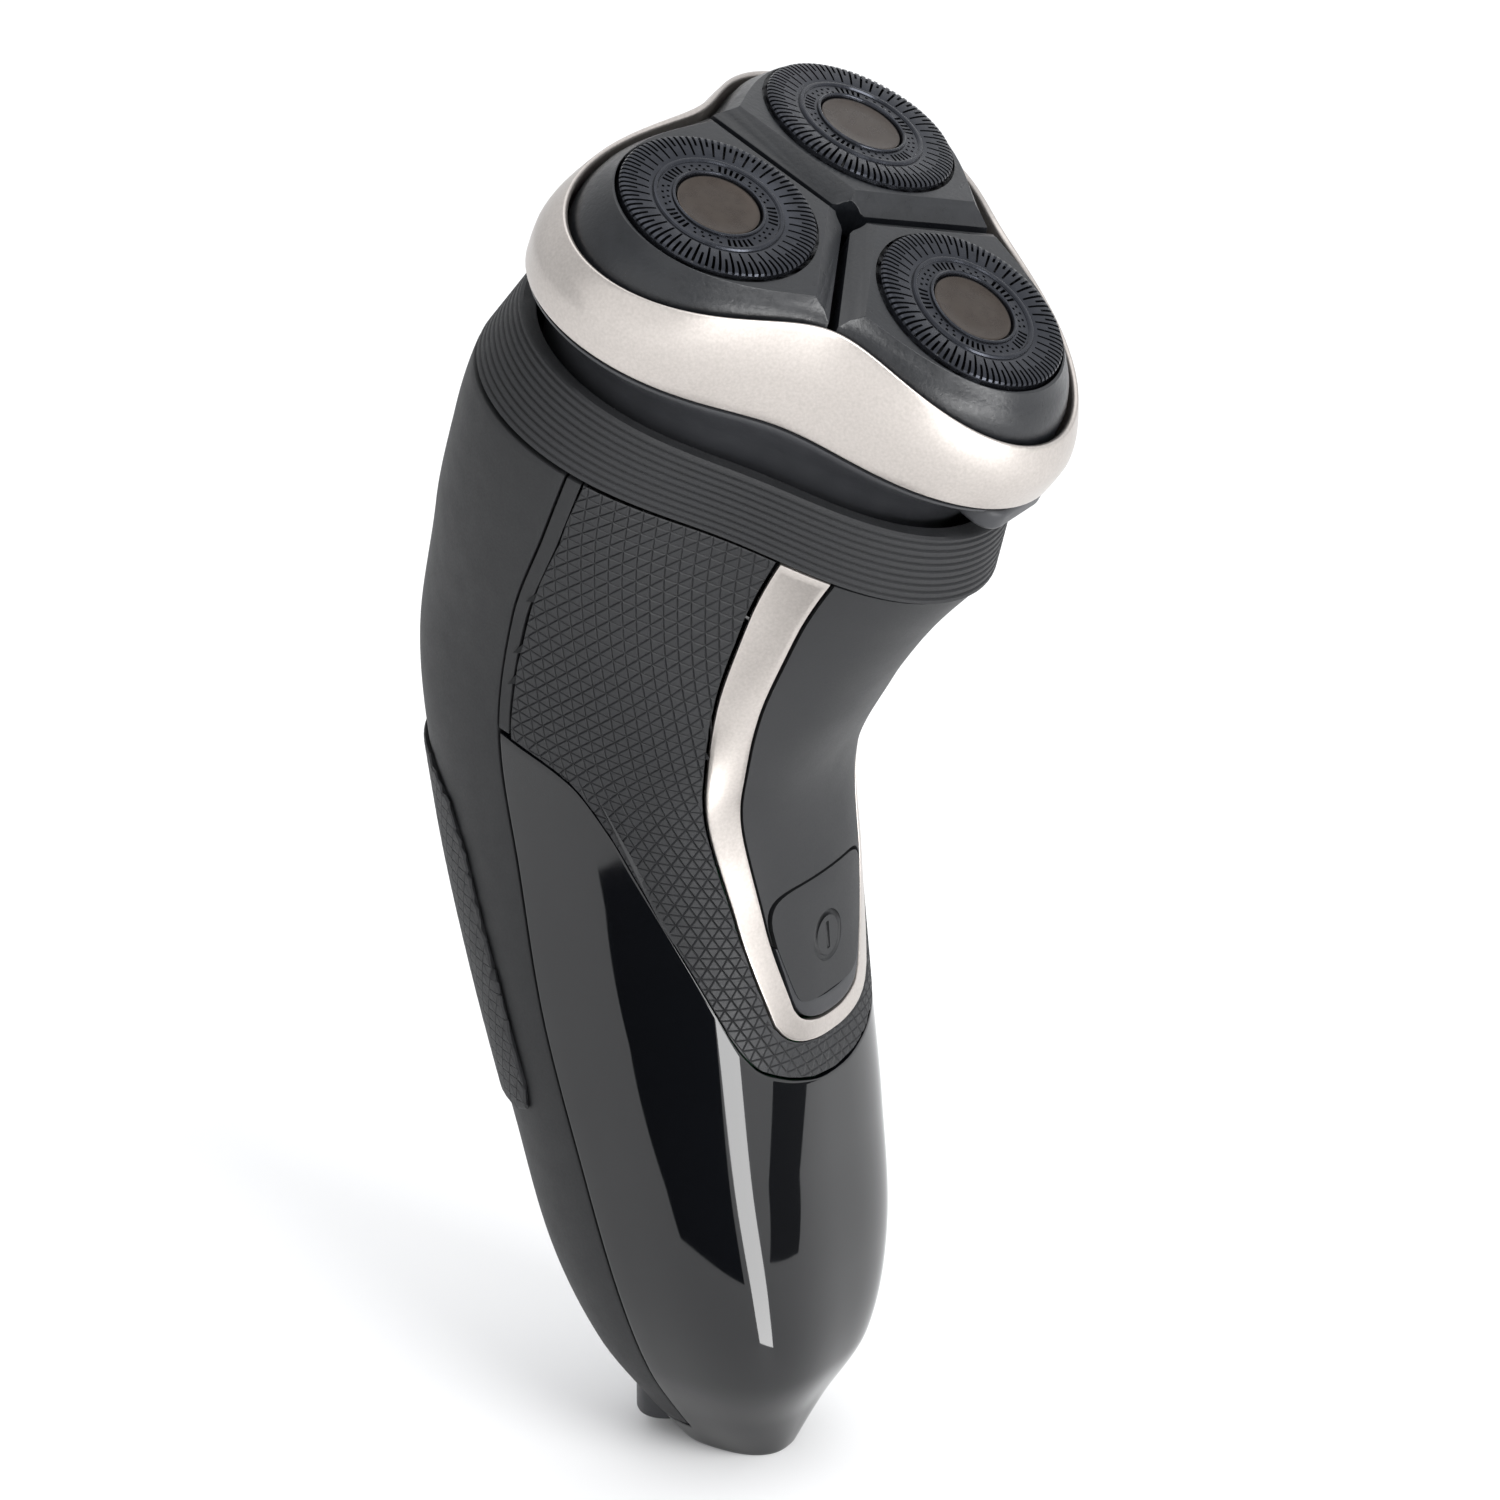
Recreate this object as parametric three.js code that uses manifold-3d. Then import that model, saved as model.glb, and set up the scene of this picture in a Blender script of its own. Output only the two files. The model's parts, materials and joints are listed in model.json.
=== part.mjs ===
// Rotary shaver with three floating cutters, a pivoting neck and a flip-open head.
// Millimetres. The handle stands upright: +Z up the handle, -Y towards the face with the
// power button, origin at the middle of the flat on the lower tip.
import * as THREE from 'three';
import { mergeVertices } from 'three/addons/utils/BufferGeometryUtils.js';
import Module from 'manifold-3d';

const wasm = await Module();
wasm.setup();

// ---------------------------------------------------------------- driving dimensions
const GAP = 0.35;                 // air kept between neighbouring pieces
const WALL = 2.0;                 // moulded wall of the two handle shells
const SKIN = 1.2;                 // grip, stripe, panel: trim let into the front shell
const RAD = Math.PI / 180;

const HEAD_CENTRE = [0, -14.7, 159.4];   // middle of the cutter plane
const HEAD_TILT = 28;             // the head leans towards the face of the shaver
const CUTTER_CIRCLE = 18;         // radius of the circle through the three cutter centres
const CUTTER_LEAN = 5.4;          // each cutter leans outwards by this many degrees
const GUARD_RADIUS = 11.65;
const LOBE_ANGLES = { left: 150, right: 30, front: 270 };

const RING_TOP = { mean: 28.1, lobe: 6.2, height: -4.1, dip: -2.6 };
const RING_FOOT = { mean: 29.6, lobe: 6.0, height: -15, dip: 0 };
const COLLAR_TOP = { mean: 29.2, lobe: 3.6, height: -21.5, dip: 0 };
const COLLAR_FOOT = { mean: 30.5, lobe: 4.4, height: -30, dip: 0 };
const PIVOT_HEIGHT = -28.9;       // the neck tilts about this point of the head axis
const LID_HINGE = { v: 26.9, height: -15.25 };

const MODULE = 0.75;
const SUN_TEETH = 26;
const PLANET_TEETH = 22;
const GEAR_HEIGHT = -22.4;          // lower face of the gears
const GEAR_WIDTH = 2.2;

// Handle sections, one per row: distance up the spine, how far the section leans, where its
// middle lies in Y, its half width, its reach to the front and to the back, and how square
// the front is (2 is an ellipse).
const STATIONS = [
  { s: 0, lean: 0, y: 0.35, half: 5.0, front: 7.1, back: 7.2, square: 2.6 },
  { s: 6, lean: 0, y: 1.0, half: 9.5, front: 10.5, back: 10.9, square: 2.9 },
  { s: 14, lean: 0, y: 1.6, half: 14.5, front: 15.5, back: 16.0, square: 3.0 },
  { s: 26, lean: 0, y: 2.9, half: 18.5, front: 18.0, back: 20.2, square: 3.0 },
  { s: 42, lean: 1, y: 6.2, half: 20.6, front: 20.1, back: 21.2, square: 2.9 },
  { s: 60, lean: 4, y: 10.6, half: 21.4, front: 23.3, back: 22.1, square: 2.7 },
  { s: 78, lean: 10, y: 12.8, half: 22.2, front: 24.8, back: 24.9, square: 2.5 },
  { s: 96, lean: 18, y: 14.0, half: 24.2, front: 26.2, back: 26.1, square: 2.4 },
  { s: 112, lean: 24, y: 9.9, half: 27.0, front: 29.8, back: 26.1, square: 2.3 },
  { s: 124, lean: 27, y: 3.7, half: 29.2, front: 31.6, back: 26.4, square: 2.3 },
  { s: 132.9, lean: 27.5, y: -0.6, half: 30.5, front: 34.7, back: 26.1, square: 2.3 },
];
const BACK_SQUARE = 2.2;
const LOBES_START = 100;          // above this the section grows into the three-lobed collar
const TOP = 132.9;
const SEAM = 97;                  // half angle where the front shell meets the rear shell
const SEAM_FOOT = 4;              // the rear shell ends just above the flat of the tip
const GRIP_SIDE = 94;

// Edges drawn on the handle as [angle from the front, distance up the spine].
const GRIP_FOOT = [[0, 53.2], [13, 54.6], [22, 56], [29, 57.3], [34, 59], [40.5, 62.6],
  [53, 72.6], [60, 78.6], [66, 84.6], [70.5, 89], [77.5, 93.3], [84, 95], [GRIP_SIDE, 95.9]];
const STRIPE_OUTER = [[0, 58.4], [9, 59], [16.5, 60.3], [21.5, 62.3], [24.5, 64.8], [33.5, 76.3],
  [39, 90], [43.5, 101.6], [46, 110], [46, 121], [46.5, TOP]];
const STRIPE_INNER = [[0, 61.2], [5, 61.6], [10, 62.6], [13, 64], [15, 66], [23, 76.6],
  [27, 89.6], [30.5, 100.6], [33.5, 110], [33, 121], [33.5, TOP]];
const BUTTON = { foot: 64.5, head: 82, inset: 1.6 };

// ---------------------------------------------------------------- materials
const finish = (color, roughness, metalness) => (
  new THREE.MeshStandardMaterial({ color, roughness, metalness })
);
const GLOSS_BLACK = finish(0x0b0c0f, 0.08, 0);
const SATIN_BLACK = finish(0x1b1c1e, 0.4, 0);
const SOFT_BLACK = finish(0x2b2c2e, 0.75, 0);
const RUBBER = finish(0x252628, 0.85, 0);
const SILVER = finish(0xc8c1bb, 0.38, 0.6);
const GUARD_METAL = finish(0x1c1d20, 0.35, 0.9);
const CAP_METAL = finish(0x5a5048, 0.35, 0.8);
const STEEL = finish(0xb8babd, 0.25, 1);
const NYLON = finish(0xe4e0d4, 0.5, 0);
const BOARD = finish(0x1d5c38, 0.5, 0);
const CELL = finish(0x3a6ea5, 0.4, 0);
const BRASS = finish(0xb08d45, 0.3, 1);

// ---------------------------------------------------------------- scene graph
const shaver = new THREE.Group();
const head = new THREE.Group();          // u is +X, v points up and back, n is the head axis
head.position.set(...HEAD_CENTRE);
head.rotation.x = HEAD_TILT * RAD;
shaver.add(head);

function place(parent, name, geometry, material) {
  const mesh = new THREE.Mesh(geometry, material);
  mesh.name = name;
  parent.add(mesh);
  return mesh;
}

// ---------------------------------------------------------------- geometry helpers
function toSolid(geometry) {
  const bare = geometry.clone();
  bare.deleteAttribute('normal');
  bare.deleteAttribute('uv');
  const merged = mergeVertices(bare, 1e-4);
  return new wasm.Manifold(new wasm.Mesh({
    numProp: 3,
    vertProperties: new Float32Array(merged.attributes.position.array),
    triVerts: new Uint32Array(merged.index.array),
  }));
}

function toGeometry(solid) {
  const mesh = solid.getMesh();
  const geometry = new THREE.BufferGeometry();
  geometry.setAttribute('position', new THREE.BufferAttribute(new Float32Array(mesh.vertProperties), 3));
  geometry.setIndex(new THREE.BufferAttribute(new Uint32Array(mesh.triVerts), 1));
  return geometry;
}

const join = (...parts) => toGeometry(parts.map(toSolid).reduce((a, b) => a.add(b)));
const cut = (body, ...tools) => toGeometry(tools.map(toSolid).reduce((a, b) => a.subtract(b), toSolid(body)));
const common = (a, b) => toGeometry(toSolid(a).intersect(toSolid(b)));

function signedVolume(points, faces) {
  let total = 0;
  for (const [a, b, c] of faces) {
    total += points[a].dot(new THREE.Vector3().crossVectors(points[b], points[c]));
  }
  return total / 6;
}

function closedMesh(points, faces) {
  const outward = signedVolume(points, faces) > 0;
  const geometry = new THREE.BufferGeometry().setFromPoints(points);
  geometry.setIndex(faces.flatMap(([a, b, c]) => (outward ? [a, b, c] : [a, c, b])));
  return geometry;
}

// Skins closed loops one after another. wrap joins the last loop to the first, and without
// it the two ends are closed with flat fans.
function loft(loops, wrap) {
  const count = loops[0].length;
  const points = loops.flat();
  const faces = [];
  const rows = wrap ? loops.length : loops.length - 1;
  for (let i = 0; i < rows; i += 1) {
    const low = i * count;
    const high = ((i + 1) % loops.length) * count;
    for (let j = 0; j < count; j += 1) {
      const next = (j + 1) % count;
      faces.push([low + j, low + next, high + next], [low + j, high + next, high + j]);
    }
  }
  if (!wrap) {
    for (const [start, flip] of [[0, true], [(loops.length - 1) * count, false]]) {
      const hub = points.length;
      const middle = new THREE.Vector3();
      for (let j = 0; j < count; j += 1) {
        middle.addScaledVector(points[start + j], 1 / count);
        const pair = [start + j, start + ((j + 1) % count)];
        faces.push(flip ? [hub, pair[1], pair[0]] : [hub, pair[0], pair[1]]);
      }
      points.push(middle);
    }
  }
  return closedMesh(points, faces);
}

function cylinder(radius, low, high, x = 0, y = 0, sides = 24, topRadius = radius) {
  const geometry = new THREE.CylinderGeometry(topRadius, radius, high - low, sides);
  geometry.rotateX(Math.PI / 2);
  geometry.translate(x, y, (low + high) / 2);
  return geometry;
}

function box(width, depth, height, x, y, z) {
  return new THREE.BoxGeometry(width, depth, height).translate(x, y, z);
}

// Turns [radius, height] pairs about Z into one closed ring or disc.
function turned(profile, sides = 36) {
  const points = profile.map(([r, z]) => new THREE.Vector2(r, z));
  if (profile[0][0] > 0) points.push(points[0].clone());
  const geometry = new THREE.LatheGeometry(points, sides);
  geometry.rotateX(Math.PI / 2);
  const solid = mergeVertices(stripped(geometry), 1e-4);
  const faces = [];
  const index = solid.index.array;
  for (let i = 0; i < index.length; i += 3) {
    const face = [index[i], index[i + 1], index[i + 2]];
    if (new Set(face).size === 3) faces.push(face);
  }
  const vertices = [];
  for (let i = 0; i < solid.attributes.position.count; i += 1) {
    vertices.push(new THREE.Vector3().fromBufferAttribute(solid.attributes.position, i));
  }
  return closedMesh(vertices, faces);
}

function stripped(geometry) {
  geometry.deleteAttribute('normal');
  geometry.deleteAttribute('uv');
  return geometry;
}

function extruded(outline, low, high, holes = []) {
  const shape = new THREE.Shape(outline.map(([x, y]) => new THREE.Vector2(x, y)));
  for (const hole of holes) {
    shape.holes.push(new THREE.Path(hole.map(([x, y]) => new THREE.Vector2(x, y))));
  }
  const geometry = new THREE.ExtrudeGeometry(shape, { depth: high - low, bevelEnabled: false });
  return geometry.translate(0, 0, low);
}

function gear(teeth, low, high, phase, bore) {
  const pitch = (MODULE * teeth) / 2;
  const tooth = (2 * Math.PI) / teeth;
  const outline = [];
  for (let i = 0; i < teeth; i += 1) {
    const corners = [[-0.30, pitch - 0.9], [-0.13, pitch + 0.6], [0.13, pitch + 0.6], [0.30, pitch - 0.9]];
    for (const [share, radius] of corners) {
      const angle = phase + (i + share) * tooth;
      outline.push([radius * Math.cos(angle), radius * Math.sin(angle)]);
    }
  }
  return extruded(outline, low, high, [circle(bore, 16)]);
}

function circle(radius, sides, x = 0, y = 0) {
  return Array.from({ length: sides }, (_, i) => {
    const angle = (2 * Math.PI * i) / sides;
    return [x + radius * Math.cos(angle), y + radius * Math.sin(angle)];
  });
}

// ---------------------------------------------------------------- the handle's surface
// Smooth value of one column of STATIONS at distance s (cubic through the stations).
function station(key, s) {
  const last = STATIONS.length - 1;
  const at = Math.min(Math.max(s, 0), TOP);
  let i = 0;
  while (i < last - 1 && at > STATIONS[i + 1].s) i += 1;
  const slope = (k) => {
    const low = STATIONS[Math.max(k - 1, 0)];
    const high = STATIONS[Math.min(k + 1, last)];
    return (high[key] - low[key]) / (high.s - low.s);
  };
  const a = STATIONS[i];
  const b = STATIONS[i + 1];
  const span = b.s - a.s;
  const t = (at - a.s) / span;
  return (2 * t ** 3 - 3 * t ** 2 + 1) * a[key] + (t ** 3 - 2 * t ** 2 + t) * span * slope(i)
    + (3 * t ** 2 - 2 * t ** 3) * b[key] + (t ** 3 - t ** 2) * span * slope(i + 1);
}

const power = (value, exponent) => Math.sign(value) * Math.abs(value) ** exponent;

// Point of the handle: angle in degrees from the front, distance up the spine, depth inside.
function handlePoint(angle, s, depth = 0) {
  const theta = angle * RAD;
  const exponent = Math.cos(theta) > 0 ? 2 / station('square', s) : 2 / BACK_SQUARE;
  const t = Math.min(Math.max((s - LOBES_START) / (TOP - LOBES_START), 0), 1);
  const lobes = t * t * (3 - 2 * t);
  const foot = COLLAR_FOOT;
  const radius = foot.mean + foot.lobe * Math.cos(3 * theta);
  const reach = Math.cos(theta) > 0 ? foot.mean + foot.lobe : foot.mean - foot.lobe;
  const [sin, cos] = [Math.sin(theta), Math.cos(theta)];
  const across = (1 - lobes) * power(sin, exponent) + (lobes * radius * sin) / foot.mean;
  const along = (1 - lobes) * power(cos, exponent) + (lobes * radius * cos) / reach;
  const extent = (Math.cos(theta) > 0 ? station('front', s) : station('back', s)) - depth;
  const lean = station('lean', s) * RAD;
  return new THREE.Vector3(
    across * (station('half', s) - depth),
    station('y', s) - along * extent * Math.cos(lean),
    s - along * extent * Math.sin(lean),
  );
}

// Closed slab under the handle's surface. path(u, v) gives [angle, s] for u and v from 0 to 1.
function slab(path, columns, rows, outer, inner) {
  const points = [];
  const width = columns + 1;
  const layer = width * (rows + 1);
  for (const depth of [outer, inner]) {
    for (let j = 0; j <= rows; j += 1) {
      for (let i = 0; i <= columns; i += 1) points.push(handlePoint(...path(i / columns, j / rows), depth));
    }
  }
  const faces = [];
  const quad = (a, b, c, d) => faces.push([a, b, c], [a, c, d]);
  const id = (i, j, k) => k * layer + j * width + i;
  for (let j = 0; j < rows; j += 1) {
    for (let i = 0; i < columns; i += 1) {
      quad(id(i, j, 0), id(i + 1, j, 0), id(i + 1, j + 1, 0), id(i, j + 1, 0));
      quad(id(i, j, 1), id(i, j + 1, 1), id(i + 1, j + 1, 1), id(i + 1, j, 1));
    }
  }
  for (let i = 0; i < columns; i += 1) {
    quad(id(i, 0, 0), id(i, 0, 1), id(i + 1, 0, 1), id(i + 1, 0, 0));
    quad(id(i, rows, 0), id(i + 1, rows, 0), id(i + 1, rows, 1), id(i, rows, 1));
  }
  for (let j = 0; j < rows; j += 1) {
    quad(id(0, j, 0), id(0, j + 1, 0), id(0, j + 1, 1), id(0, j, 1));
    quad(id(columns, j, 0), id(columns, j, 1), id(columns, j + 1, 1), id(columns, j + 1, 0));
  }
  return closedMesh(points, faces);
}

// Walks along an edge list: t from 0 to 1 by position in the list.
function along(edge, t) {
  const at = t * (edge.length - 1);
  const i = Math.min(Math.floor(at), edge.length - 2);
  return [0, 1].map((k) => edge[i][k] + (at - i) * (edge[i + 1][k] - edge[i][k]));
}

// Angle of an edge at a given distance up the spine.
function angleAt(edge, s) {
  const i = Math.max(1, edge.findIndex((corner) => corner[1] >= s));
  const [a, b] = [edge[i - 1], edge[i]];
  return a[0] + ((s - a[1]) / (b[1] - a[1])) * (b[0] - a[0]);
}

// Mirrors a right-hand edge to a full left-to-right U.
const wholeEdge = (edge) => [...edge.slice(1).reverse().map(([a, s]) => [-a, s]), ...edge];

// ---------------------------------------------------------------- handle: shells
const TRIMMER = { angle: 24, foot: 99, head: 124 };
const CATCH = { angle: 9, foot: 87, head: 94 };
const INLET = { half: 6, reach: 4.3, y: 9, foot: 2.2, head: 13 };

function inletSolid(grow, low, high) {
  const outline = circle(1, 24).map(([x, y]) => (
    [x * (INLET.half + grow), INLET.y + y * (INLET.reach + grow)]
  ));
  return extruded(outline, low, high);
}

function frontShell() {
  const low = SEAM_FOOT - 1.5;
  const shoulder = wholeEdge([...GRIP_FOOT, [SEAM - 1.2, 96.1], [SEAM, 96.1]]);
  const columns = shoulder.length - 1;
  const skin = slab((u, v) => {
    const [angle, s] = along(shoulder, u);
    return [angle, low + v * (s - GAP - 0.15 - low)];
  }, columns, 7, 0, WALL);
  const underLayer = slab((u, v) => {
    const [angle, s] = along(shoulder, u);
    return [angle, s - 3 + v * (TOP - 0.5 - s + 3)];
  }, columns, 11, SKIN + GAP + 0.15, WALL + 1.3);
  const strips = [-1, 1].map((side) => slab(
    (u, v) => [side * (GRIP_SIDE + 0.7 + u * (SEAM - GRIP_SIDE - 0.7)), 92 + v * (TOP - 92.5)],
    1, 5, 0, WALL + 1.2,
  ));
  const tip = loft([0, 1.5, 3, SEAM_FOOT - 0.3].map((s) => (
    Array.from({ length: 28 }, (_, i) => handlePoint((360 * i) / 28, s))
  )), false);
  const stemHole = new THREE.CylinderGeometry(3, 3, 16, 20).translate(0, -8, stemHeight);
  return cut(join(skin, underLayer, ...strips, tip), stemHole, inletSolid(GAP, -5, 30));
}

function rearShell() {
  const wall = slab(
    (u, v) => [SEAM + 1 + u * (358 - 2 * SEAM), SEAM_FOOT + v * (TOP - 0.5 - SEAM_FOOT)],
    14, 12, 0, WALL,
  );
  const opening = (angle, foot, head, rows) => slab(
    (u, v) => [180 + (2 * u - 1) * angle, foot + v * (head - foot)],
    2, rows, -1, WALL + 1,
  );
  const bay = opening(TRIMMER.angle + 1.2, TRIMMER.foot - 0.6, TRIMMER.head + 0.6, 3);
  const slot = opening(CATCH.angle + 0.8, CATCH.foot - 0.5, CATCH.head + 3.1, 2);
  return cut(wall, bay, slot, inletSolid(GAP, -5, 30));
}

// ---------------------------------------------------------------- handle: trim
function uBand(outerEdge, innerEdge, columns, rows, depth) {
  const outside = wholeEdge(outerEdge);
  const inside = wholeEdge(innerEdge);
  return slab((u, v) => {
    const a = along(outside, u);
    const b = along(inside, u);
    return [a[0] + v * (b[0] - a[0]), a[1] + v * (b[1] - a[1])];
  }, columns, rows, 0, depth);
}

function grip() {
  const side = [106, 115, 124, TOP - 0.4].map((height) => [GRIP_SIDE, height]);
  const outer = [...GRIP_FOOT, ...side];
  const steps = outer.length - 1;
  const inner = outer.map((_, i) => {
    const [angle, s] = along(STRIPE_OUTER, i / steps);
    return [angle + (i ? 0.9 : 0), Math.min(s - (i < steps / 2 ? 0.4 : 0), TOP - 0.4)];
  });
  return uBand(outer, inner, 2 * steps, 5, SKIN);
}

function stripe() {
  const trim = (edge) => edge.map(([angle, s]) => [angle, Math.min(s, TOP - 0.4)]);
  return uBand(trim(STRIPE_OUTER), trim(STRIPE_INNER), 20, 1, SKIN);
}

const innerAngle = (s) => angleAt(STRIPE_INNER, Math.min(s, TOP)) - 0.9;

function frontPanel() {
  const foot = BUTTON.head + 0.45;
  return slab((u, v) => {
    const s = foot + v * (TOP - 0.4 - foot);
    return [(2 * u - 1) * innerAngle(s), s];
  }, 8, 10, 0, SKIN);
}

// The lip that frames the button on both sides and below.
function panelLip() {
  const edge = (inset) => [
    [0, 61.7 + inset], [8, 62.6 + inset], [12, 64.2 + inset / 2],
    ...[67, 72, 77, BUTTON.head].map((s) => [innerAngle(s) - inset, s]),
  ];
  return uBand(edge(0), edge(BUTTON.inset), 12, 1, SKIN);
}

function powerButton() {
  const low = BUTTON.foot - 0.1;
  const face = slab((u, v) => {
    const s = low + v * (BUTTON.head - low);
    const ease = Math.min(1, 0.8 + (s - low) / 12);
    return [(2 * u - 1) * (innerAngle(Math.max(s, 66.6)) - BUTTON.inset - 2.2) * ease, s];
  }, 6, 5, -0.1, SKIN - 0.1);
  const stem = new THREE.CylinderGeometry(2.2, 2.2, 3.6, 16).translate(0, -9.3, stemHeight);
  return join(face, stem);
}

const stemHeight = 69;            // the button's stem and the switch behind it

// ---------------------------------------------------------------- handle: inside
function leaning(y, z, angle) {
  const group = new THREE.Group();
  group.position.set(0, y, z);
  group.rotation.x = angle * RAD;
  shaver.add(group);
  return group;
}
const frame = leaning(9.5, 62, -13);      // the inner frame follows the handle's back
const board = leaning(-4.6, 54, -8);

function chassis() {
  const plate = box(21, 1.8, 70, 0, 9.2, -4);
  const ribs = [-36, -12, 12].map((z) => box(21, 3.6, 1.6, 0, 10.4, z));
  const walls = [-1, 1].map((side) => box(1.6, 11, 70, side * 9.7, 4.4, -4));
  return join(plate, ...ribs, ...walls);
}

function neckDeck() {
  const level = (height) => trefoil({ mean: 25.2, lobe: 2.4, height, dip: 0 }, 30);
  const deck = loft([level(-34.6), level(-32.6)], false);
  const posts = [-1, 1].map((side) => box(2.4, 5, 5.6, side * 15.6, 0, -30.2));
  const holes = new THREE.CylinderGeometry(1.45, 1.45, 40, 12).rotateZ(Math.PI / 2);
  holes.translate(0, 0, PIVOT_HEIGHT);
  const screws = [-8, 8].map((x) => cylinder(1.35, -36, -31, x, 0, 12));
  return cut(join(deck, ...posts), cylinder(5.2, -40, -30, 0, 0, 20), holes, ...screws);
}

function motor() {
  const can = cylinder(11.8, -62, -36, 0, 0, 28);
  const boss = cylinder(4, -37, -34.9, 0, 0, 20);
  const bores = [-8, 8].map((x) => cylinder(1.35, -40, -35, x, 0, 12));
  return cut(join(can, boss), cylinder(1.5, -39, -34, 0, 0, 14), ...bores);
}

function driveCoupler() {
  const shaft = cylinder(1.1, -38.6, -30, 0, 0, 14);
  const sleeve = cylinder(3.2, -34.4, -26, 0, 0, 18);
  const hexTip = cylinder(1.7, -27, -22.9, 0, 0, 6);
  return join(shaft, sleeve, hexTip);
}

function screw(x, y, seat, length, down) {
  const cap = down ? [seat, seat + 1.3] : [seat - 1.3, seat];
  const shank = down ? [seat - length, seat + 0.5] : [seat - 0.5, seat + length];
  return join(cylinder(2, ...cap, x, y, 14), cylinder(down ? 1 : 0.85, ...shank, x, y, 10));
}

function inletSocket() {
  const cavity = box(8.8, 4.8, 8, 0, INLET.y, INLET.foot + 3);
  const bores = [-1, 1].map((side) => cylinder(1.1, 0, 20, side * 2.2, INLET.y, 12));
  return cut(inletSolid(0, INLET.foot, INLET.head), cavity, ...bores);
}

// The pop-up trimmer lies in a frame of its own: z along the door, y out of the back.
const trimmerFoot = handlePoint(180, TRIMMER.foot, 0);
const trimmerHead = handlePoint(180, TRIMMER.head, 0);
const trimmerLean = Math.atan2(trimmerHead.y - trimmerFoot.y, trimmerHead.z - trimmerFoot.z) / RAD;
const trimmer = leaning(trimmerFoot.y, trimmerFoot.z, -trimmerLean);

const trimmerDoor = () => slab(
  (u, v) => [180 + (2 * u - 1) * TRIMMER.angle, TRIMMER.foot + v * (TRIMMER.head - TRIMMER.foot)],
  8, 5, 0, WALL,
);
const trimmerBody = () => join(
  box(18, 3.4, 20, 0, -4.95, 12),
  box(3, 1.6, 6, 0, -3.8, 4),
);

function comb(width, teeth, thickness, y, low, high) {
  const pitch = width / teeth;
  const outline = [[-width / 2, low], [width / 2, low]];
  for (let i = teeth - 1; i >= 0; i -= 1) {
    const left = -width / 2 + i * pitch;
    outline.push([left + pitch, high - 1.6], [left + 0.75 * pitch, high]);
    outline.push([left + 0.3 * pitch, high], [left, high - 1.6]);
  }
  const geometry = extruded(outline, -thickness / 2, thickness / 2);
  return geometry.rotateX(Math.PI / 2).translate(0, y, 0);
}

const trimmerCatch = () => slab(
  (u, v) => [180 + (2 * u - 1) * CATCH.angle, CATCH.foot + v * (CATCH.head - CATCH.foot)],
  4, 3, -0.8, WALL + 0.4,
);

// ---------------------------------------------------------------- head
function trefoil({ mean, lobe, height, dip }, count = 36) {
  return Array.from({ length: count }, (_, i) => {
    const theta = (2 * Math.PI * i) / count;
    const wave = Math.cos(3 * theta);
    const radius = mean + lobe * wave;
    return new THREE.Vector3(radius * Math.sin(theta), -radius * Math.cos(theta), height + dip * wave);
  });
}

function hingeRod(radius, left, right) {
  const rod = new THREE.CylinderGeometry(radius, radius, right - left, 14).rotateZ(Math.PI / 2);
  return rod.translate((left + right) / 2, LID_HINGE.v, LID_HINGE.height);
}

function headRing() {
  const lower = { ...RING_FOOT, mean: RING_FOOT.mean - 2.0 };
  const upper = { ...RING_TOP, mean: RING_TOP.mean - 0.7, height: RING_TOP.height - 0.3 };
  const belly = { mean: 29.6, lobe: 6.3, height: -10.2, dip: -0.9 };
  const band = loft([RING_TOP, belly, RING_FOOT, lower, upper].map((level) => trefoil(level)), true);
  const knuckle = join(hingeRod(1.9, -3, 3), box(5.4, 3.4, 3.6, 0, 24.6, -12.9));
  return cut(join(band, knuckle), hingeRod(1.3, -9, 9));
}

function headBase() {
  const outside = [
    { mean: 27.8, lobe: 5.4, height: -15.5, dip: 0 },
    { mean: 26.5, lobe: 4.3, height: -17.3, dip: 0 },
    { mean: 25.2, lobe: 3.7, height: -19.6, dip: 0 },
    { mean: 25.0, lobe: 3.6, height: -25.2, dip: 0 },
  ].map((ring) => trefoil(ring));
  const chamber = [
    { mean: 25.9, lobe: 4.4, height: -15, dip: 0 },
    { mean: 23.6, lobe: 3.4, height: -18.3, dip: 0 },
  ].map((ring) => trefoil(ring));
  const below = [
    { mean: 23.8, lobe: 4.1, height: -19.6, dip: 0 },
    { mean: 23.6, lobe: 4.0, height: -26, dip: 0 },
  ].map((ring) => trefoil(ring));
  const tub = cut(loft(outside, false), loft(chamber, false), loft(below, false));
  const axle = cylinder(1.05, -21.6, -19, 0, 0, 12);
  const bosses = coverScrews.map(([x, y]) => cylinder(2.3, -24.5, -19, x, y, 14));
  const ears = [-1, 1].map((side) => join(
    hingeRod(1.9, side < 0 ? -6.4 : 3.4, side < 0 ? -3.4 : 6.4), box(3, 4, 3, side * 4.9, 24.8, -17.2),
  ));
  const bores = coverScrews.map(([x, y]) => cylinder(1.2, -26, -20.6, x, y, 12));
  const holes = lobes.map(({ x, y }) => cylinder(2.0, -26, -14, x, y, 16));
  const body = join(tub, axle, ...bosses, ...ears);
  return cut(body, ...holes, ...bores, tabNotch(), hingeRod(1.3, -9, 9), lidClearance());
}

const lobes = Object.entries(LOBE_ANGLES).map(([name, angle]) => ({
  name,
  angle: angle * RAD,
  x: CUTTER_CIRCLE * Math.cos(angle * RAD),
  y: CUTTER_CIRCLE * Math.sin(angle * RAD),
}));

const coverScrews = [90, 210, 330].map((angle) => (
  [18.2 * Math.cos(angle * RAD), 18.2 * Math.sin(angle * RAD)]
));

// Room for the ring's hinge knuckle.
const lidClearance = () => box(6.4, 6, 8, 0, 26, -15.2);

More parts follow.
